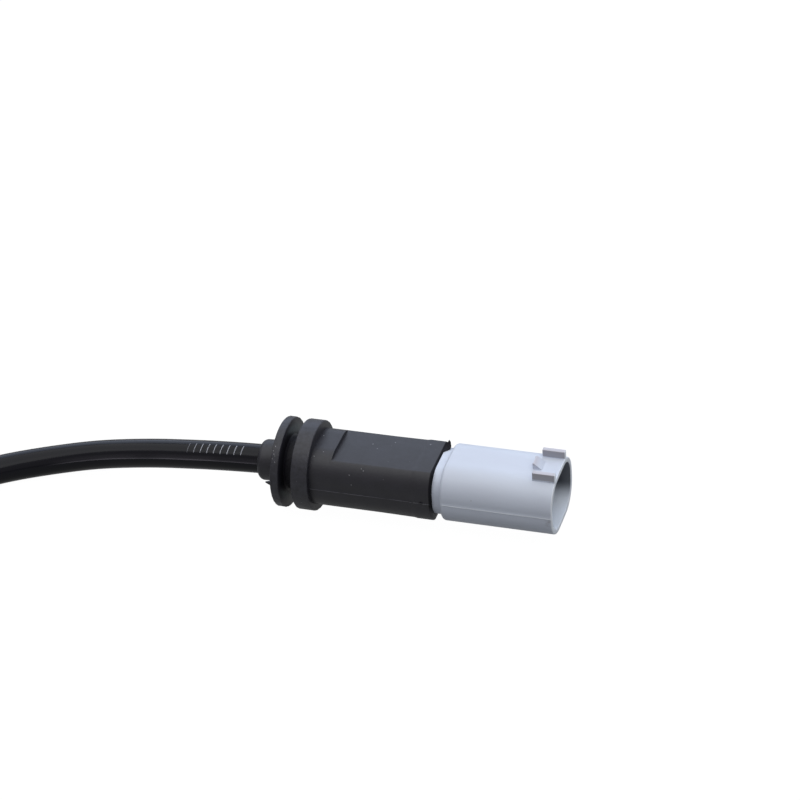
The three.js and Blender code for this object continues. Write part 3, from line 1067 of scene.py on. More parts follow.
@dataclass(frozen=True)
class PlatedMetal:
    """Bare or plated metal with fine drawn scratches."""

    name: str
    colour: Colour
    roughness: float
    stretch: Place = (0.08, 1, 1)

    def build(self) -> bpy.types.Material:
        """Builds the material.

        Returns:
            The material.
        """
        graph = Graph.of_material(self.name)
        scratch = graph.noise(0.06, 3, 0.6, self.stretch)
        cloud = graph.noise(1.5, 3).fade(0.3, 0.7)
        dull = tuple(0.75 * c for c in self.colour)
        colour = graph.mix(cloud * 0.5 + scratch * 0.3, self.colour, dull)
        rough = scratch * 0.2 + cloud * 0.08 + (self.roughness - 0.14)
        normal = graph.bump(scratch, 0.004)
        return graph.surface(Base_Color=colour, Roughness=rough, Normal=normal, Metallic=1.0)


@dataclass
class PlugFrame:
    """The plug's own frame: X along its axis from the rear face of the rear flange."""

    neck_length: float = 4.7

    def origin(self) -> Vector:
        """Returns its origin in the part's frame, in metres."""
        low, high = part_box("rubber_boot")
        return Vector((low.x + self.neck_length * MM, 0, (low.z + high.z) / 2))

    def settle(self, piece: bpy.types.Object) -> None:
        """Moves a piece from the plug's frame into the part's frame.

        Args:
            piece: The piece, modelled about the plug's axis.
        """
        piece.location = self.origin()
        apply_place(piece)

    def place(self, x: float, y: float, z: float) -> Place:
        """Returns a point of the plug's frame in the part's frame, in metres."""
        return tuple(self.origin() + Vector((x, y, z)) * MM)


@dataclass
class Boot:
    """Rubber boot: neck, thin and thick flange, groove, and a body with two flats."""

    plug: PlugFrame
    finish: bpy.types.Material
    bore_radius: float = 2.55
    bore_end: float = 6.0
    bore_edge: float = 0.2
    neck_radius: float = 3.45
    neck_length: float = 3.98
    neck_edge: float = 0.95
    neck_droop: float = 0.2
    fillet: float = 0.3
    flange_radius: float = 7.58
    flange_edge: float = 0.2
    flange_wear: float = 0.035
    rear_flange: float = 1.42
    groove_radius: float = 4.5
    front_start: float = 3.6
    body_start: float = 6.5
    body_end: float = 27.48
    half_width: float = 6.4
    half_height: float = 5.4
    corner: float = 4.4
    flat_height: float = 4.65
    shoulder: float = 10.1
    shoulder_edge: float = 0.12
    flat_edge: float = 0.15
    end_edge: float = 0.45
    pocket: tuple[float, float, float] = (5.25, 3.5, 3.25)
    pocket_start: float = 11.9
    flare_start: float = 18.5
    lip_start: float = 24.0
    flare: float = 1.012
    lip: float = 1.018
    seam_at: float = -0.25
    seam_height: float = 0.09
    torn: tuple[float, ...] = (23.6, 24.1, 24.5, 24.8, 25.2, 25.5, 25.8, 26.1, 26.4, 26.7)
    torn_wear: float = 0.16
    spike_low: Place = (-0.05, -7.62, 0.35)
    spike_high: Place = (0.4, -7.2, 1.15)
    spike_centre: Place = (0, -7.4, 0.8)
    spike_narrowing: Place = (1, 0.4, 0.15)
    spike_length: float = 0.7
    spike_worn: float = 0.11
    end_lip_low: Place = (27.0, 1.9, 4.5)
    end_lip_high: Place = (27.5, 4.4, 4.66)
    end_lip_steps: tuple[tuple[float, float, Place], ...] = (
        (1.0, 5.0, (0.1, 0, 0.08)), (2.3, 4.0, (0.4, 0, 0.0)), (2.7, 3.6, (0.35, 0, -0.05)),
        (3.3, 5.0, (0.0, 0, 0.22)), (3.8, 5.0, (0.1, 0.1, 0.3)),
    )

    def build(self) -> bpy.types.Object:
        """Builds the boot and its flash.

        Returns:
            The boot.
        """
        boot = self.flanges()
        Bench.combine(boot, self.rear_body(), Join.ADD)
        Bench.combine(boot, self.main_body(), Join.ADD)
        pocket = Bench.prism("pocket", self.pocket, self.pocket_start, self.body_end + 1)
        Bench.combine(boot, pocket, Join.CUT)
        boot.name = "rubber_boot_skin"
        self.plug.settle(boot)
        Bench.hand_over(boot, self.finish, Slot.BOOT, "rubber_boot")
        self.flash_spike()
        self.torn_seam()
        self.end_lip()
        return boot

    def flanges(self) -> bpy.types.Object:
        """Builds the neck and the two flanges.

        Returns:
            The turned solid.
        """
        inner = self.groove_radius
        bore_start = self.bore_edge - self.neck_length
        rings = [(self.bore_end, self.bore_radius), (bore_start, self.bore_radius)]
        neck_centre = (self.neck_edge - self.neck_length, self.neck_radius - self.neck_edge)
        rings += Bench.arc(neck_centre, self.neck_edge, 162, 90, 7)
        rings += [(-self.fillet, self.neck_radius), (0, self.neck_radius + self.fillet)]
        rings += self.flange_profile(0, self.rear_flange)
        rings += [(self.rear_flange, inner + self.fillet), (self.rear_flange + self.fillet, inner)]
        rings += [(self.front_start - self.fillet, inner), (self.front_start, inner + self.fillet)]
        rings += self.flange_profile(self.front_start, self.body_start)
        rings.append((self.body_start, inner))
        solid = Bench.turned("flanges", rings, 144)
        rim = self.flange_radius - self.flange_edge / 2
        with Editing(solid) as edit:
            edit.pick(Pick.VERTICES, lambda p, _: p.yz.length > rim)
            edit.roughen(self.flange_wear, 5)
            edit.pick(Pick.VERTICES, lambda p, _: p.x < -1)
            edit.move(z=-self.neck_droop)
        return solid

    def flange_profile(self, start: float, end: float) -> list[tuple[float, float]]:
        """Lists the rounded rim of one flange.

        Args:
            start: X of its rear face.
            end: X of its front face.

        Returns:
            Places along X with the radius there.
        """
        edge = self.flange_edge
        rim = self.flange_radius - edge
        rear = Bench.arc((start + edge, rim), edge, 180, 90, 4)
        return rear + Bench.arc((end - edge, rim), edge, 90, 0, 4)

    def rear_body(self) -> bpy.types.Object:
        """Builds the full oval between the front flange and the shoulder.

        Returns:
            The solid.
        """
        section = (self.half_width, self.half_height, self.corner)
        solid = Bench.prism("rear_body", section, self.body_start - 1, self.shoulder, 16)
        with Editing(solid) as edit:
            edit.pick(Pick.EDGES, lambda p, e: p.x > self.shoulder - NEAR and abs(p.z) > self.flat_height)
            edit.bevel(self.shoulder_edge, 3)
            edit.raise_seam(self.seam_at, self.seam_height, self.half_width - NEAR)
            edit.close_up()
        return solid

    def main_body(self) -> bpy.types.Object:
        """Builds the body with its flats.

        Returns:
            The solid.
        """
        start = self.shoulder - 1
        section = (self.half_width, self.half_height, self.corner)
        solid = Bench.outline("main_body", start, *section, steps=16)
        with Editing(solid) as edit:
            for side in (-1, 1):
                edit.bisect((start, 0, side * self.flat_height), (0, 0, side), clear_outer=True)
            edit.pick_all()
            edit.extrude(x=self.body_end - start)
            edit.close_up()
            edit.pick(Pick.EDGES, lambda p, e: self.is_flat_edge(p, e))
            edit.bevel(self.flat_edge, 3)
            for x in (self.flare_start, self.lip_start, self.lip_start + 0.5):
                edit.bisect((x, 0, 0), (1, 0, 0))
            for x, share in ((self.flare_start + 0.1, self.flare), (self.lip_start + 0.4, self.lip)):
                edit.pick(Pick.VERTICES, lambda p, _: p.x > x)
                edit.scale((1, (1 + share) / 2, share), (x, 0, 0))
            edit.pick(Pick.EDGES, lambda p, e: all(v.co.x > (self.body_end - NEAR) * MM for v in e.verts))
            edit.bevel(self.end_edge, 5)
            for x in self.torn:
                edit.bisect((x, 0, 0), (1, 0, 0))
            edit.raise_seam(self.seam_at, self.seam_height, self.half_width - NEAR)
            edit.pick(Pick.VERTICES, lambda p, _: self.is_torn(p))
            edit.roughen(self.torn_wear, 4)
            edit.close_up()
        return solid

    def is_torn(self, place: Vector) -> bool:
        """Tells whether a point is on the torn stretch of the near parting line."""
        on_line = place.y < -self.half_width - 2 * NEAR and abs(place.z - self.seam_at) < 2 * NEAR
        return on_line and self.torn[0] - 10 * NEAR < place.x < self.torn[-1] + 10 * NEAR

    def is_flat_edge(self, place: Vector, edge: bmesh.types.BMEdge) -> bool:
        """Tells whether an edge runs along X at the side of a flat.

        Args:
            place: The edge's middle in millimetres.
            edge: The edge.

        Returns:
            Whether it does.
        """
        run = abs(edge.verts[0].co.x - edge.verts[1].co.x) / MM
        return run > 1 and abs(abs(place.z) - self.flat_height) < NEAR

    def sliver(self, name: str, base: Place, size: Place, tip: Place) -> bpy.types.Object:
        """Makes a thin leaf of flash that narrows to a tip.

        Args:
            name: Name of the piece.
            base: Middle of its root in the plug's frame.
            size: Its size along X, Y and Z.
            tip: How far its outer end is moved.

        Returns:
            The piece in the plug's frame.
        """
        low = [b - s / 2 for b, s in zip(base, size)]
        high = [b + s / 2 for b, s in zip(base, size)]
        piece = Bench.block(name, low, high)
        with Editing(piece) as edit:
            edit.pick_all()
            bpy.ops.mesh.subdivide(number_cuts=2)
            edit.pick(Pick.VERTICES, lambda p, _: p.y < base[1] - size[1] / 2 + NEAR)
            edit.scale((0.35, 1, 0.6), base)
            edit.move(*tip)
            edit.pick_all()
            edit.roughen(0.03, 3)
        return piece

    def flash_spike(self) -> None:
        """Adds the small spike of flash on the rear flange."""
        piece = Bench.block("flash_spike", self.spike_low, self.spike_high)
        with Editing(piece) as edit:
            edit.pick_all()
            bpy.ops.mesh.subdivide(number_cuts=2)
            edit.pick(Pick.VERTICES, lambda p, _: p.x < self.spike_low[0] + NEAR)
            edit.scale(self.spike_narrowing, self.spike_centre)
            edit.move(x=-self.spike_length)
            edit.pick(Pick.VERTICES, lambda p, _: p.x < self.spike_worn)
            edit.roughen(0.04, 3)
        self.plug.settle(piece)
        Bench.hand_over(piece, self.finish, Slot.BOOT)

    def torn_seam(self) -> None:
        """Adds the torn curl on the near side's parting line and the crumbs at the end edge."""
        leaves = [
            ("torn_seam_tip", (25.7, -6.47, -0.1), (0.7, 0.2, 0.2), (0.15, -0.08, 0.1)),
            ("torn_seam_end", (27.0, -6.45, -0.5), (0.25, 0.2, 0.6), (0.1, -0.06, -0.1)),
        ]
        for name, base, size, tip in leaves:
            piece = self.sliver(name, base, size, tip)
            self.plug.settle(piece)
            Bench.hand_over(piece, self.finish, Slot.BOOT)

    def end_lip(self) -> None:
        """Adds the thin lip of flash over the end edge, at the far side of the upper flat."""
        piece = Bench.block("end_lip", self.end_lip_low, self.end_lip_high)
        outside = self.end_lip_high[0] - 5 * NEAR
        with Editing(piece) as edit:
            edit.pick_all()
            bpy.ops.mesh.subdivide(number_cuts=4)
            for least, most, step in self.end_lip_steps:
                edit.pick(Pick.VERTICES, lambda p, _: p.x > outside and least < p.y < most)
                edit.move(*step)
            edit.pick_all()
            edit.roughen(0.02, 7)
        self.plug.settle(piece)
        Bench.hand_over(piece, self.finish, Slot.BOOT)


@dataclass
class Housing:
    """Connector housing: shell with an open mouth, ribs and nub, collar and tail."""

    plug: PlugFrame
    finish: bpy.types.Material
    section: tuple[float, float, float] = (6.72, 5.27, 4.6)
    lift: float = 0.17
    start: float = 28.91
    mouth: float = 47.83
    wall: float = 0.88
    floor: float = 31.53
    collar_start: float = 27.48
    collar_inset: float = 0.9
    tail: tuple[float, float, float] = (5.15, 3.4, 3.15)
    tail_start: float = 11.98
    rear_edge: float = 0.6
    rim_edge: float = 0.16
    rib_length: float = 3.85
    rib_height: float = 1.25
    rib_thickness: float = 0.85
    rib_span: float = 7.45
    rib_offset: float = 0.07
    rib_setback: float = 0.04
    rib_edge: float = 0.13
    nub_setback: float = 4.55
    nub_length: float = 1.65
    nub_width: float = 2.3
    nub_offset: float = 0.3
    nub_height: float = 1.05
    nub_top: float = 0.35
    nub_lean: float = 0.15
    nub_sharp_height: float = 0.3
    nub_edge: float = 0.12
    pin_pitch: float = 5.0
    seal_bore: float = 1.95
    seal_end: float = 17.08
    cavity_half: float = 1.2
    seam_height: float = 0.07

    def inset_section(self, inset: float) -> tuple[float, float, float]:
        """Returns the shell's section moved inwards."""
        return tuple(size - inset for size in self.section)

    def build(self) -> bpy.types.Object:
        """Builds the housing.

        Returns:
            The housing.
        """
        housing = self.shell()
        collar = Bench.prism("collar", self.inset_section(self.collar_inset), self.collar_start,
                             self.start + self.wall)
        Bench.combine(housing, collar, Join.ADD)
        for side in (-1, 1):
            Bench.combine(housing, self.rib(side), Join.ADD)
        Bench.combine(housing, self.nub(), Join.ADD)
        housing.location = (0, 0, self.lift * MM)
        apply_place(housing)
        tail = Bench.prism("tail", self.tail, self.tail_start, self.start + self.wall)
        Bench.combine(housing, tail, Join.ADD)
        for side in (-1, 1):
            self.cut_bores(housing, side * self.pin_pitch / 2)
        housing.name = "housing_shell"
        self.plug.settle(housing)
        return Bench.hand_over(housing, self.finish, Slot.SHELL, "connector_housing")

    def shell(self) -> bpy.types.Object:
        """Builds the shell with its mouth and parting line.

        Returns:
            The solid.
        """
        solid = Bench.prism("shell", self.section, self.start, self.mouth, 16)
        with Editing(solid) as edit:
            edit.pick(Pick.FACES, lambda p, f: f.normal.x > 0.9)
            edit.inset(self.wall)
            edit.extrude(x=self.floor - self.mouth)
            edit.pick(Pick.EDGES, lambda p, e: self.is_ring(e, self.mouth))
            edit.bevel(self.rim_edge, 3)
            edit.pick(Pick.EDGES, lambda p, e: self.is_ring(e, self.start))
            edit.bevel(self.rear_edge, 6)
            edit.raise_seam(0, self.seam_height, self.section[0] - self.wall + self.rim_edge)
            edit.close_up()
        return solid

    @staticmethod
    def is_ring(edge: bmesh.types.BMEdge, x: float) -> bool:
        """Tells whether an edge lies in a plane across the axis.

        Args:
            edge: The edge.
            x: The plane's place along X in millimetres.

        Returns:
            Whether it does.
        """
        return all(abs(vertex.co.x / MM - x) < NEAR for vertex in edge.verts)

    def rib(self, side: int) -> bpy.types.Object:
        """Builds a guide rib.

        Args:
            side: -1 for the near rib, 1 for the far one.

        Returns:
            The solid.
        """
        outer = self.rib_offset + side * self.rib_span / 2
        inner = outer - side * self.rib_thickness
        top = self.section[1] + self.rib_height
        low = (self.mouth - self.rib_length, min(outer, inner), self.section[1] - self.wall / 2)
        solid = Bench.block("rib", low, (self.mouth - self.rib_setback, max(outer, inner), top))
        with Editing(solid) as edit:
            edit.pick(Pick.EDGES, lambda p, e: p.z > self.section[1])
            edit.bevel(self.rib_edge, 3)
        return solid

    def nub(self) -> bpy.types.Object:
        """Builds the latch nub with its ramp.

        Returns:
            The solid.
        """
        rear = self.mouth - self.nub_setback
        top = self.section[1] + self.nub_height
        root = self.section[1] - self.wall / 2
        near = self.nub_offset - self.nub_width / 2
        far = self.nub_offset + self.nub_width / 2
        solid = Bench.block("nub", (rear, near, root), (rear + self.nub_top, far, top))
        with Editing(solid) as edit:
            edit.pick(Pick.EDGES, lambda p, e: p.x < rear + NEAR and abs(p.z - (root + top) / 2) < NEAR)
            edit.bevel(self.nub_top * 0.9, 5)
            edit.pick(Pick.FACES, lambda p, f: f.normal.x > 0.9)
            edit.extrude(x=self.nub_length - self.nub_top)
            front = rear + self.nub_length - NEAR
            edit.pick(Pick.VERTICES, lambda p, _: p.x > front and p.z > self.section[1])
            edit.move(z=-self.nub_height)
            edit.pick(Pick.VERTICES, lambda p, _: p.x < rear + NEAR and p.z > self.section[1])
            edit.move(x=self.nub_lean)
            edit.pick(Pick.EDGES, lambda p, e: p.z > self.section[1] + self.nub_sharp_height)
            edit.bevel(self.nub_edge, 3)
            edit.close_up()
        return solid

    def cut_bores(self, housing: bpy.types.Object, y: float) -> None:
        """Cuts the seal bore and the terminal cavity of one contact.

        Args:
            housing: The solid to cut.
            y: The contact's place across the plug.
        """
        ends = [(x, self.seal_bore) for x in (self.tail_start - 1, self.seal_end)]
        bore = Bench.turned("bore", ends, 48)
        bore.location = (0, y * MM, 0)
        apply_place(bore)
        Bench.combine(housing, bore, Join.CUT)
        low = (self.seal_end - 0.1, y - self.cavity_half, -self.cavity_half)
        cavity = Bench.block("cavity", low, (self.floor + 1, y + self.cavity_half, self.cavity_half))
        Bench.combine(housing, cavity, Join.CUT)


@dataclass
class Contacts:
    """The plate on the floor of the mouth, the two pins, and the cores and seals behind them."""

    plug: PlugFrame
    metal: bpy.types.Material
    lock: bpy.types.Material
    seal: bpy.types.Material
    brown: bpy.types.Material
    blue: bpy.types.Material
    pitch: float = 5.0
    barrel: tuple[float, float] = (19.33, 1.1)
    bore: tuple[float, float] = (21.83, 0.9)
    square: tuple[float, float] = (22.53, 1.1)
    square_end: float = 31.43
    pin_radius: float = 0.75
    tip: float = 42.63
    tip_radius: float = 0.3
    taper: float = 1.5

    def build(self) -> None:
        """Builds the pins and dresses the nodes behind them."""
        plate = Bench.refined("terminal_lock", "terminal_plate", 0.15)
        Bench.hand_over(plate, self.lock, Slot.LOCK, "terminal_lock")
        for index, side in enumerate((-1, 1), 1):
            pin = self.pin()
            pin.name = f"pin_{index}"
            pin.location = (0, side * self.pitch / 2 * MM, 0)
            apply_place(pin)
            self.plug.settle(pin)
            Bench.hand_over(pin, self.metal, Slot.CONTACT, f"contact_pin_{index}")
            dress(f"wire_seal_{index}", self.seal)
        dress("core_wire_1", self.brown)
        dress("core_wire_2", self.blue)

    def pin(self) -> bpy.types.Object:
        """Builds one contact.

        Returns:
            The solid.
        """
        barrel_start, barrel_radius = self.barrel
        bore_end, bore_radius = self.bore
        square_start, half = self.square
        rings = [(bore_end, bore_radius), (barrel_start, bore_radius), (barrel_start, barrel_radius),
                 (square_start + 0.5, barrel_radius)]
        solid = Bench.turned("pin", rings, 32)
        body = Bench.block("square", (square_start, -half, -half), (self.square_end, half, half))
        with Editing(body) as edit:
            edit.pick_all()
            edit.bevel(0.2, 2)
        Bench.combine(solid, body, Join.ADD)
        nose = [(self.square_end - 1, self.pin_radius), (self.tip - self.taper, self.pin_radius)]
        nose += [(self.tip - 0.2, self.tip_radius + 0.15), (self.tip, self.tip_radius)]
        Bench.combine(solid, Bench.turned("nose", nose, 32), Join.ADD)
        return solid


def dress(node: str, finish: bpy.types.Material) -> None:
    """Gives a node of the frame its material.

    Args:
        node: The node's name.
        finish: The material.
    """
    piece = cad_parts[node]
    if not piece.data.materials:
        piece.data.materials.append(finish)
    for slot in piece.material_slots:
        slot.material = finish
    LOG.info("%s keeps its frame solid", node)


@dataclass
class Cable:
    """The cable from the boot to the head, with two and a half turns in a tied hank."""

    finish: bpy.types.Material
    diameter: float = 4.95
    sides: int = 28
    step: float = 1.4
    hank_left: float = -175.5
    hank_right: float = -99.5
    outer: float = 19.95
    middle: float = 17.475
    inner: float = 15.0
    ground: float = 2.45
    nested: float = 6.74
    crossing: float = 7.4
    lead_end: float = -112
    climb_start: float = -128
    climb_end: float = -104
    descent_end: float = -120
    fold_points: int = 8
    tie_at: float = -137.5
    tie_lift: float = 0.55
    tie_reach: float = 14.0

    lead_points: tuple[Place, ...] = (
        (-15.565, 0, 7.5), (-21.565, 0, 7.46), (-26.265, 0, 7.3), (-31.2, -0.1, 7.06),
        (-36.7, 0, 6.52), (-46.2, 0.3, 5.2), (-55.4, 0, 3.72), (-62.3, -1.5, 2.8),
        (-68.6, -4.3, 2.5), (-71.6, -6.1, 2.45), (-76, -9.1, 2.45), (-80.6, -12.3, 2.45),
        (-86, -15.6, 2.45), (-92, -18.2, 2.45), (-98, -19.6, 2.45), (-104, -19.95, 2.45),
    )
    tail_points: tuple[Place, ...] = (
        (-170, 17.4, 6.8), (-165, 16.9, 7.0), (-160, 15.9, 7.1), (-154, 13.9, 7.3),
        (-149, 11.6, 6.9), (-145, 9.3, 6), (-140, 6.3, 4.7), (-135, 3.2, 3.7),
        (-130, 0.9, 3.3), (-125.5, -0.2, 3.4), (-121, -0.5, 3.5), (-115, -0.5, 3.5),
        (-110.3, -0.5, 3.5),
    )

    def run(self, start: float, end: float, y: float, heights: tuple[float, float],
            count: int) -> list[Place]:
        """Lists points of a straight run along X.

        Args:
            start: First X.
            end: Last X, which isn't listed.
            y: Place across.
            heights: Height at the start and at the end.
            count: Number of points.

        Returns:
            The points.
        """
        points = []
        for i in range(count):
            share = i / count
            height = heights[0] + (heights[1] - heights[0]) * eased(share)
            points.append((start + (end - start) * share, y, height))
        return points

    def fold(self, x: float, y_start: float, y_end: float, heights: tuple[float, float]) -> list[Place]:
        """Lists points of a half turn, on the left where it goes from -Y to +Y and else on the right.

        Args:
            x: X of its centre.
            y_start: Y at its start.
            y_end: Y at its end, which isn't listed.
            heights: Height at the start and at the end.

        Returns:
            The points.
        """
        radius = (y_end - y_start) / 2
        centre = (y_end + y_start) / 2
        points = []
        for i in range(self.fold_points):
            angle = math.pi * i / self.fold_points
            height = heights[0] + (heights[1] - heights[0]) * eased(i / self.fold_points)
            points.append((x - radius * math.sin(angle), centre - radius * math.cos(angle), height))
        return points

    def turns(self) -> list[Place]:
        """Lists the points of the hank's turns.

        Returns:
            The points from the lead's end to the tail's start.
        """
        left, right = self.hank_left, self.hank_right
        low = (self.ground, self.ground)
        top = (self.nested, self.nested)
        high = (self.crossing, self.crossing)
        points = self.run(self.lead_end, left, -self.outer, low, 7)
        points += self.fold(left, -self.outer, self.outer, low)
        points += self.run(left, right, self.outer, low, 8)
        points += self.fold(right, self.outer, -self.inner, low)
        points += self.run(right, left, -self.inner, low, 8)
        points += self.fold(left, -self.inner, self.inner, low)
        points += self.run(left, self.climb_start, self.inner, low, 5)
        points += self.run(self.climb_start, self.climb_end, self.inner, (self.ground, self.crossing), 4)
        points += self.run(self.climb_end, right, self.inner, high, 1)
        points += self.fold(right, self.inner, -self.middle, high)
        points += self.run(right, self.descent_end, -self.middle, (self.crossing, self.nested), 3)
        points += self.run(self.descent_end, left, -self.middle, top, 5)
        points += self.fold(left, -self.middle, self.middle, top)
        points.append((left, self.middle, self.nested))
        return points

    def route(self) -> list[Vector]:
        """Works out the centre line.

        Returns:
            Points in metres, about one step apart.
        """
        knots = [Vector(p) for p in (*self.lead_points, *self.turns(), *self.tail_points)]
        for knot in knots:
            share = max(0.0, 1 - abs(knot.x - self.tie_at) / self.tie_reach)
            if abs(knot.y) > self.inner - 1:
                knot.z += self.tie_lift * eased(share)
        line = smooth_line(knots, self.step)
        return [point * MM for point in line]

    def build(self) -> bpy.types.Object:
        """Builds the cable as one tube with coordinates along and around it.

        Returns:
            The cable.
        """
        line = self.route()
        radius = self.diameter * MM / 2
        vertices, faces, coordinates = [], [], []
        normal = Vector((0, -1, 0))
        length = 0.0
        exit_length = (self.lead_points[0][0] - self.lead_points[2][0]) * MM
        lengths = []
        for i, point in enumerate(line):
            ahead = (line[min(i + 1, len(line) - 1)] - line[max(i - 1, 0)]).normalized()
            normal = (normal - ahead * normal.dot(ahead)).normalized()
            across = ahead.cross(normal)
            if i:
                length += (point - line[i - 1]).length
            lengths.append(length - exit_length)
            for k in range(self.sides):
                angle = 2 * math.pi * k / self.sides
                vertices.append(point + (normal * math.cos(angle) + across * math.sin(angle)) * radius)
        for i in range(len(line) - 1):
            for k in range(self.sides):
                after = (k + 1) % self.sides
                ring, above = i * self.sides, (i + 1) * self.sides
                faces.append((ring + k, ring + after, above + after, above + k))
                low, high = k / self.sides, (k + 1) / self.sides
                coordinates += [(lengths[i], low), (lengths[i], high), (lengths[i + 1], high),
                                (lengths[i + 1], low)]
        for start in (0, (len(line) - 1) * self.sides):
            faces.append(tuple(range(start, start + self.sides)))
            coordinates += [(-1.0, 0.6)] * self.sides
        mesh = bpy.data.meshes.new("cable_run")
        mesh.from_pydata(vertices, [], faces)
        layer = mesh.uv_layers.new(name="along_and_around")
        for loop, pair in zip(layer.data, coordinates):
            loop.uv = pair
        piece = bpy.data.objects.new("cable_run", mesh)
        bpy.context.scene.collection.objects.link(piece)
        with Editing(piece) as edit:
            edit.pick_all()
            bpy.ops.mesh.normals_make_consistent(inside=False)
        Bench.hand_over(piece, self.finish, Slot.JACKET, "cable_lead", "cable_hank", "cable_tail",
                        smooth_angle=40)
        self.line = line
        LOG.info("cable centre line: %.3f m", length)
        return piece


def smooth_line(knots: Sequence[Vector], step: float) -> list[Vector]:
    """Draws a centripetal curve through points.

    Args:
        knots: The points that it passes through.
        step: Distance between the listed points.

    Returns:
        Points of the curve, evenly spaced within each stretch.
    """
    padded = [2 * knots[0] - knots[1], *knots, 2 * knots[-1] - knots[-2]]
    line = []
    for a, b, c, d in zip(padded, padded[1:], padded[2:], padded[3:]):
        spans = [math.sqrt((q - p).length) for p, q in ((a, b), (b, c), (c, d))]
        start = (b - a) / spans[0] - (c - a) / (spans[0] + spans[1]) + (c - b) / spans[1]
        end = (c - b) / spans[1] - (d - b) / (spans[1] + spans[2]) + (d - c) / spans[2]
        start, end = start * spans[1], end * spans[1]
        count = max(1, round((c - b).length / step))
        for i in range(count):
            t = i / count
            line.append((2 * t**3 - 3 * t**2 + 1) * b + (t**3 - 2 * t**2 + t) * start
                        + (3 * t**2 - 2 * t**3) * c + (t**3 - t**2) * end)
    line.append(knots[-1].copy())
    return line


@dataclass
class Ties:
    """The two bands around the hank."""

    finish: bpy.types.Material
    rounding: float = 0.12

    def build(self) -> list[bpy.types.Object]:
        """Builds the bands.

        Returns:
            The two pieces.
        """
        pieces = []
        for index in (1, 2):
            band = Bench.refined(f"hank_tie_{index}", f"tie_band_{index}", self.rounding)
            pieces.append(Bench.hand_over(band, self.finish, Slot.TIE, f"hank_tie_{index}"))
        return pieces


@dataclass
class SensingHead:
    """The head with its strain relief, spring clip, splices and loop."""

    body_finish: bpy.types.Material
    rubber: bpy.types.Material
    clip_finish: bpy.types.Material
    metal: bpy.types.Material
    relief_rear: float = -124.0
    relief_front: float = -115.0
    relief_bore: float = 2.55
    relief_thin: float = 3.0
    relief_thick: float = 3.4
    rings: int = 4
    ring_depth: float = 0.22
    centre: tuple[float, float] = (-0.5, 3.5)

    def build(self) -> list[bpy.types.Object]:
        """Builds the head.

        Returns:
            Its pieces, the frame's nodes among them.
        """
        body = Bench.refined("head_body", "head_moulding", 0.35)
        clip = Bench.refined("head_clip", "head_spring_clip", 0.1, 2)
        pieces = [
            Bench.hand_over(body, self.body_finish, Slot.HEAD, "head_body"),
            Bench.hand_over(clip, self.clip_finish, Slot.CLIP, "head_clip"),
            Bench.hand_over(self.relief(), self.rubber, Slot.BOOT, "head_strain_relief"),
        ]
        for node in ("sensing_loop", "head_splice_1", "head_splice_2"):
            dress(node, self.metal)
            pieces.append(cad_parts[node])
        return pieces

    def relief(self) -> bpy.types.Object:
        """Builds the tapered sleeve with its rings.

        Returns:
            The piece in its place.
        """
        length = self.relief_front - self.relief_rear
        rings = [(self.relief_front, self.relief_bore), (self.relief_rear, self.relief_bore),
                 (self.relief_rear, self.relief_thin - 0.15), (self.relief_rear + 0.15, self.relief_thin)]
        pitch = (length - 1) / self.rings
        for i in range(self.rings):
            x = self.relief_rear + 0.5 + i * pitch
            grown = self.relief_thin + (self.relief_thick - self.relief_thin) * (i + 1) / self.rings
            rings += [(x + 0.1 * pitch, grown), (x + 0.55 * pitch, grown + 0.02)]
            rings += [(x + share * pitch, grown - self.ring_depth) for share in (0.62, 0.92)]
        rings += [(self.relief_front - 0.4, self.relief_thick), (self.relief_front, self.relief_thick)]
        rings.append((self.relief_front, self.relief_bore + 0.02))
        piece = Bench.turned("head_sleeve", rings, 48)
        with Editing(piece) as edit:
            edit.pick(Pick.FACES, lambda p, f: len(f.verts) > 8)
            bpy.ops.mesh.delete(type="ONLY_FACE")
            ends = self.relief_front - 0.001
            edit.pick(Pick.VERTICES, lambda p, _: p.x > ends and p.yz.length < self.relief_bore + 0.05)
            bpy.ops.mesh.remove_doubles(threshold=0.05 * MM)
            edit.pick_all()
            bpy.ops.mesh.normals_make_consistent(inside=False)
        piece.location = (0, self.centre[0] * MM, self.centre[1] * MM)
        apply_place(piece)
        return piece


@dataclass(frozen=True)
class Softbox:
    """A softbox: its middle, the way it faces, its size, how bright its face is and its colour."""

    name: str
    place: Place
    aim: Place
    size: tuple[float, float]
    radiance: float
    colour: Colour

    def place_in_scene(self) -> None:
        """Adds the lamp."""
        start_clean()
        turn = Vector(self.aim).to_track_quat("-Z", "Y").to_euler()
        bpy.ops.object.light_add(type="AREA", location=self.place, rotation=turn)
        lamp = bpy.context.object
        lamp.name = self.name
        lamp.data.shape = "RECTANGLE"
        lamp.data.size, lamp.data.size_y = self.size
        lamp.data.energy = self.radiance * math.pi * self.size[0] * self.size[1]
        lamp.data.color = self.colour


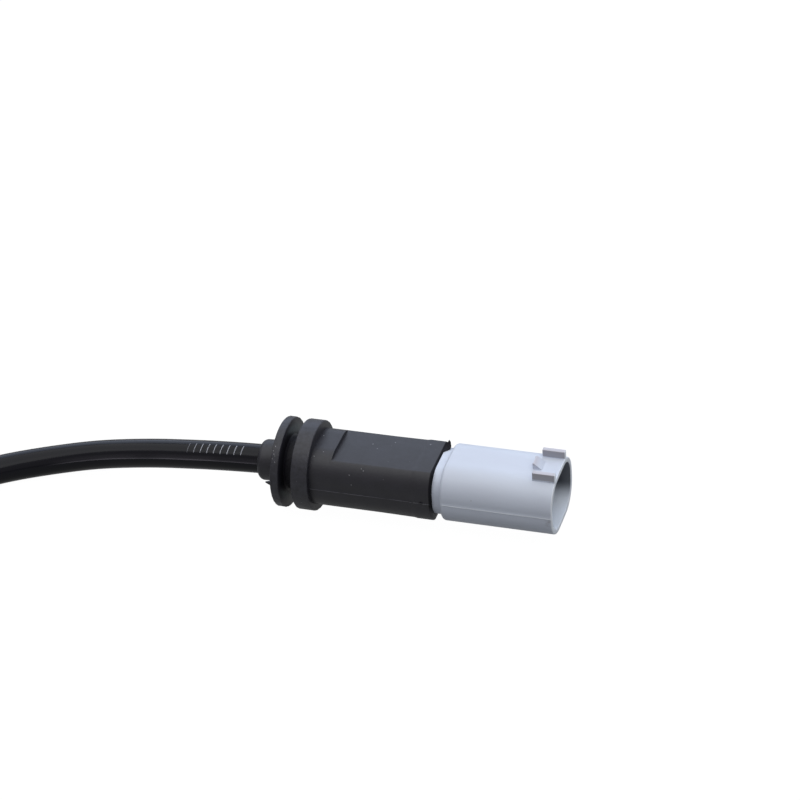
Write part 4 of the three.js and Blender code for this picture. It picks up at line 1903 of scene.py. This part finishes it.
@dataclass
class Studio:
    """Camera, lights, floor and world."""

    camera_place: Place = (0.134185, -0.376410, 0.295880)
    camera_right: Place = (0.95366, 0.29391, -0.06444)
    camera_up: Place = (-0.11569, 0.55585, 0.82319)
    camera_back: Place = (0.27776, -0.77759, 0.56410)
    lens: float = 134.28
    sensor: float = 36.0
    floor_size: float = 6.0
    floor_seen: Colour = (0.74, 0.745, 0.75)
    floor_bounce: Colour = (0.19, 0.2, 0.2)
    floor_white: float = 1.06
    white_share: float = 0.86
    mirror_share: float = 0.25
    bounce_share: float = 0.07
    fill_level: float = 0.08
    fill_colour: Colour = (1.0, 0.95, 1.0)

    def build(self) -> None:
        """Builds the whole studio."""
        self.camera()
        self.floor()
        self.lamps()
        self.world()
        bpy.context.scene.view_settings.view_transform = "Standard"

    def camera(self) -> None:
        """Places the camera at the photograph's viewpoint."""
        start_clean()
        turn = Matrix((self.camera_right, self.camera_up, self.camera_back)).transposed()
        bpy.ops.object.camera_add(location=self.camera_place, rotation=turn.to_euler())
        camera = bpy.context.object
        camera.data.sensor_width = self.sensor
        camera.data.lens = self.lens
        camera.data.clip_start = 0.01
        bpy.context.scene.camera = camera

    def lamps(self) -> None:
        """Adds the softboxes overhead, in front of the plug and behind it."""
        boxes = [
            Softbox("overhead_softbox", (0.2, -0.08, 1.0), (0, 0, -1), (2.8, 1.4), 1.36,
                    (0.98, 1.0, 1.0)),
            Softbox("front_softbox", (0, -1.04, 0.94), (0, 1.04, -0.94), (2.4, 1.62), 0.22,
                    (1.0, 0.96, 1.0)),
            Softbox("rear_softbox", (0, 1.15, 0.75), (0, -1.15, -0.75), (2.6, 1.1), 1.22,
                    (0.82, 0.95, 1.2)),
        ]
        for box in boxes:
            box.place_in_scene()

    def floor(self) -> None:
        """Adds the pale floor, which looks white to the camera and still takes a shadow."""
        start_clean()
        bpy.ops.mesh.primitive_plane_add(size=self.floor_size)
        floor = bpy.context.object
        floor.name = "floor"
        graph = Graph.of_material("pale_floor")
        seen, mirrored = self.seen_rays(graph)
        shade = graph.mix(seen, self.floor_bounce, self.floor_seen)
        matt = graph.node("ShaderNodeBsdfDiffuse", None, {"Color": shade})
        white = graph.node("ShaderNodeEmission", None, {"Color": WHITE, "Strength": self.floor_white})
        share = seen * self.white_share + mirrored * self.mirror_share + self.bounce_share
        graph.show(graph.node("ShaderNodeMixShader", None, {0: share, 1: matt, 2: white}))
        floor.data.materials.append(graph.owner)

    @staticmethod
    def seen_rays(graph: Graph) -> tuple[Wire, Wire]:
        """Tells which rays see the backdrop.

        Args:
            graph: The graph to work in.

        Returns:
            A mask for rays straight from the camera and one for rays from gloss and glass.
        """
        camera = graph.node("ShaderNodeLightPath", None, None, "Is Camera Ray")
        outputs = camera.socket.node.outputs
        glossy, through = (Wire(graph, outputs[name]) for name in ("Is Glossy Ray", "Is Transmission Ray"))
        return camera, glossy.either(through)

    def world(self) -> None:
        """Sets the world to white where it is seen and to a soft fill elsewhere."""
        world = bpy.data.worlds.new("studio_world")
        bpy.context.scene.world = world
        graph = Graph(world, "ShaderNodeOutputWorld")
        colour = (*self.fill_colour, 1)
        fill = graph.node("ShaderNodeBackground", None, {"Color": colour, "Strength": self.fill_level})
        white = graph.node("ShaderNodeBackground", None, {"Color": WHITE, "Strength": 1.0})
        seen, mirrored = self.seen_rays(graph)
        share = seen + mirrored * self.mirror_share
        graph.show(graph.node("ShaderNodeMixShader", None, {0: share, 1: fill, 2: white}))


def boot_marks(plug: PlugFrame) -> tuple[Place, ...]:
    """Lists the light specks on the boot.

    Args:
        plug: The plug's frame.

    Returns:
        Their places in the part's frame, in metres.
    """
    places = [
        (7.0, 1.1, 5.4), (8.3, -3.1, 5.26), (7.0, -4.1, 4.88), (15.4, 1.5, 4.65), (16.5, 0.4, 4.65),
        (18.9, 2.7, 4.65), (15.4, -5.0, 4.18), (15.8, -5.2, 3.98), (13.5, -5.8, 3.2), (13.9, -6.35, 1.65),
        (25.8, -4.8, 4.4), (0.3, -5.07, 5.62), (0.5, -5.47, 5.27), (0.7, -5.67, 5.07), (0.3, -5.98, 4.66),
        (0.5, -4.46, 6.13), (0.8, -6.28, 4.26),
    ]
    return tuple(plug.place(*place) for place in places)


def main() -> None:
    """Builds every sub-assembly in order."""
    logging.basicConfig(level=logging.INFO, format="%(name)s: %(message)s")
    studio = Studio()
    studio.build()
    plug = PlugFrame()
    rubber = BootRubber("boot_rubber", srgb(28, 27, 34), srgb(33, 32, 40), 0.46, 0.5, grain=0.1,
                        dust=0.1, marks=boot_marks(plug)).build()
    shell = ShellPlastic().build()
    jacket = JacketGloss().build()
    tin = PlatedMetal("tin_plate", srgb(214, 211, 203), 0.3).build()
    spring = PlatedMetal("spring_steel", srgb(165, 167, 170), 0.36, (1, 0.08, 1)).build()
    lock = Moulded("lock_plastic", srgb(168, 172, 184), srgb(160, 164, 176), 0.5, 0.4).build()
    silicone = Moulded("seal_silicone", srgb(70, 118, 165), srgb(62, 108, 152), 0.5, 0.4).build()
    brown = Moulded("core_brown_sheath", srgb(112, 70, 42), srgb(100, 62, 38), 0.35, 0.4).build()
    blue = Moulded("core_blue_sheath", srgb(44, 84, 152), srgb(40, 76, 138), 0.35, 0.4).build()
    band = Moulded("tie_band", srgb(30, 30, 32), srgb(36, 36, 39), 0.55, 0.4).build()
    black = Moulded("head_plastic", srgb(32, 32, 35), srgb(38, 38, 41), 0.5, 0.4, dust=0.04).build()

    cable = Cable(jacket)
    run = cable.build()
    ties = Ties(band).build()
    head = SensingHead(black, rubber, spring, tin).build()
    Boot(plug, rubber).build()
    Housing(plug, shell).build()
    Contacts(plug, tin, lock, silicone, brown, blue).build()
    exit_place = plug.place(-plug.neck_length, 0, 0)
    cable.diameter * MM


if __name__ == "__main__":
    main()
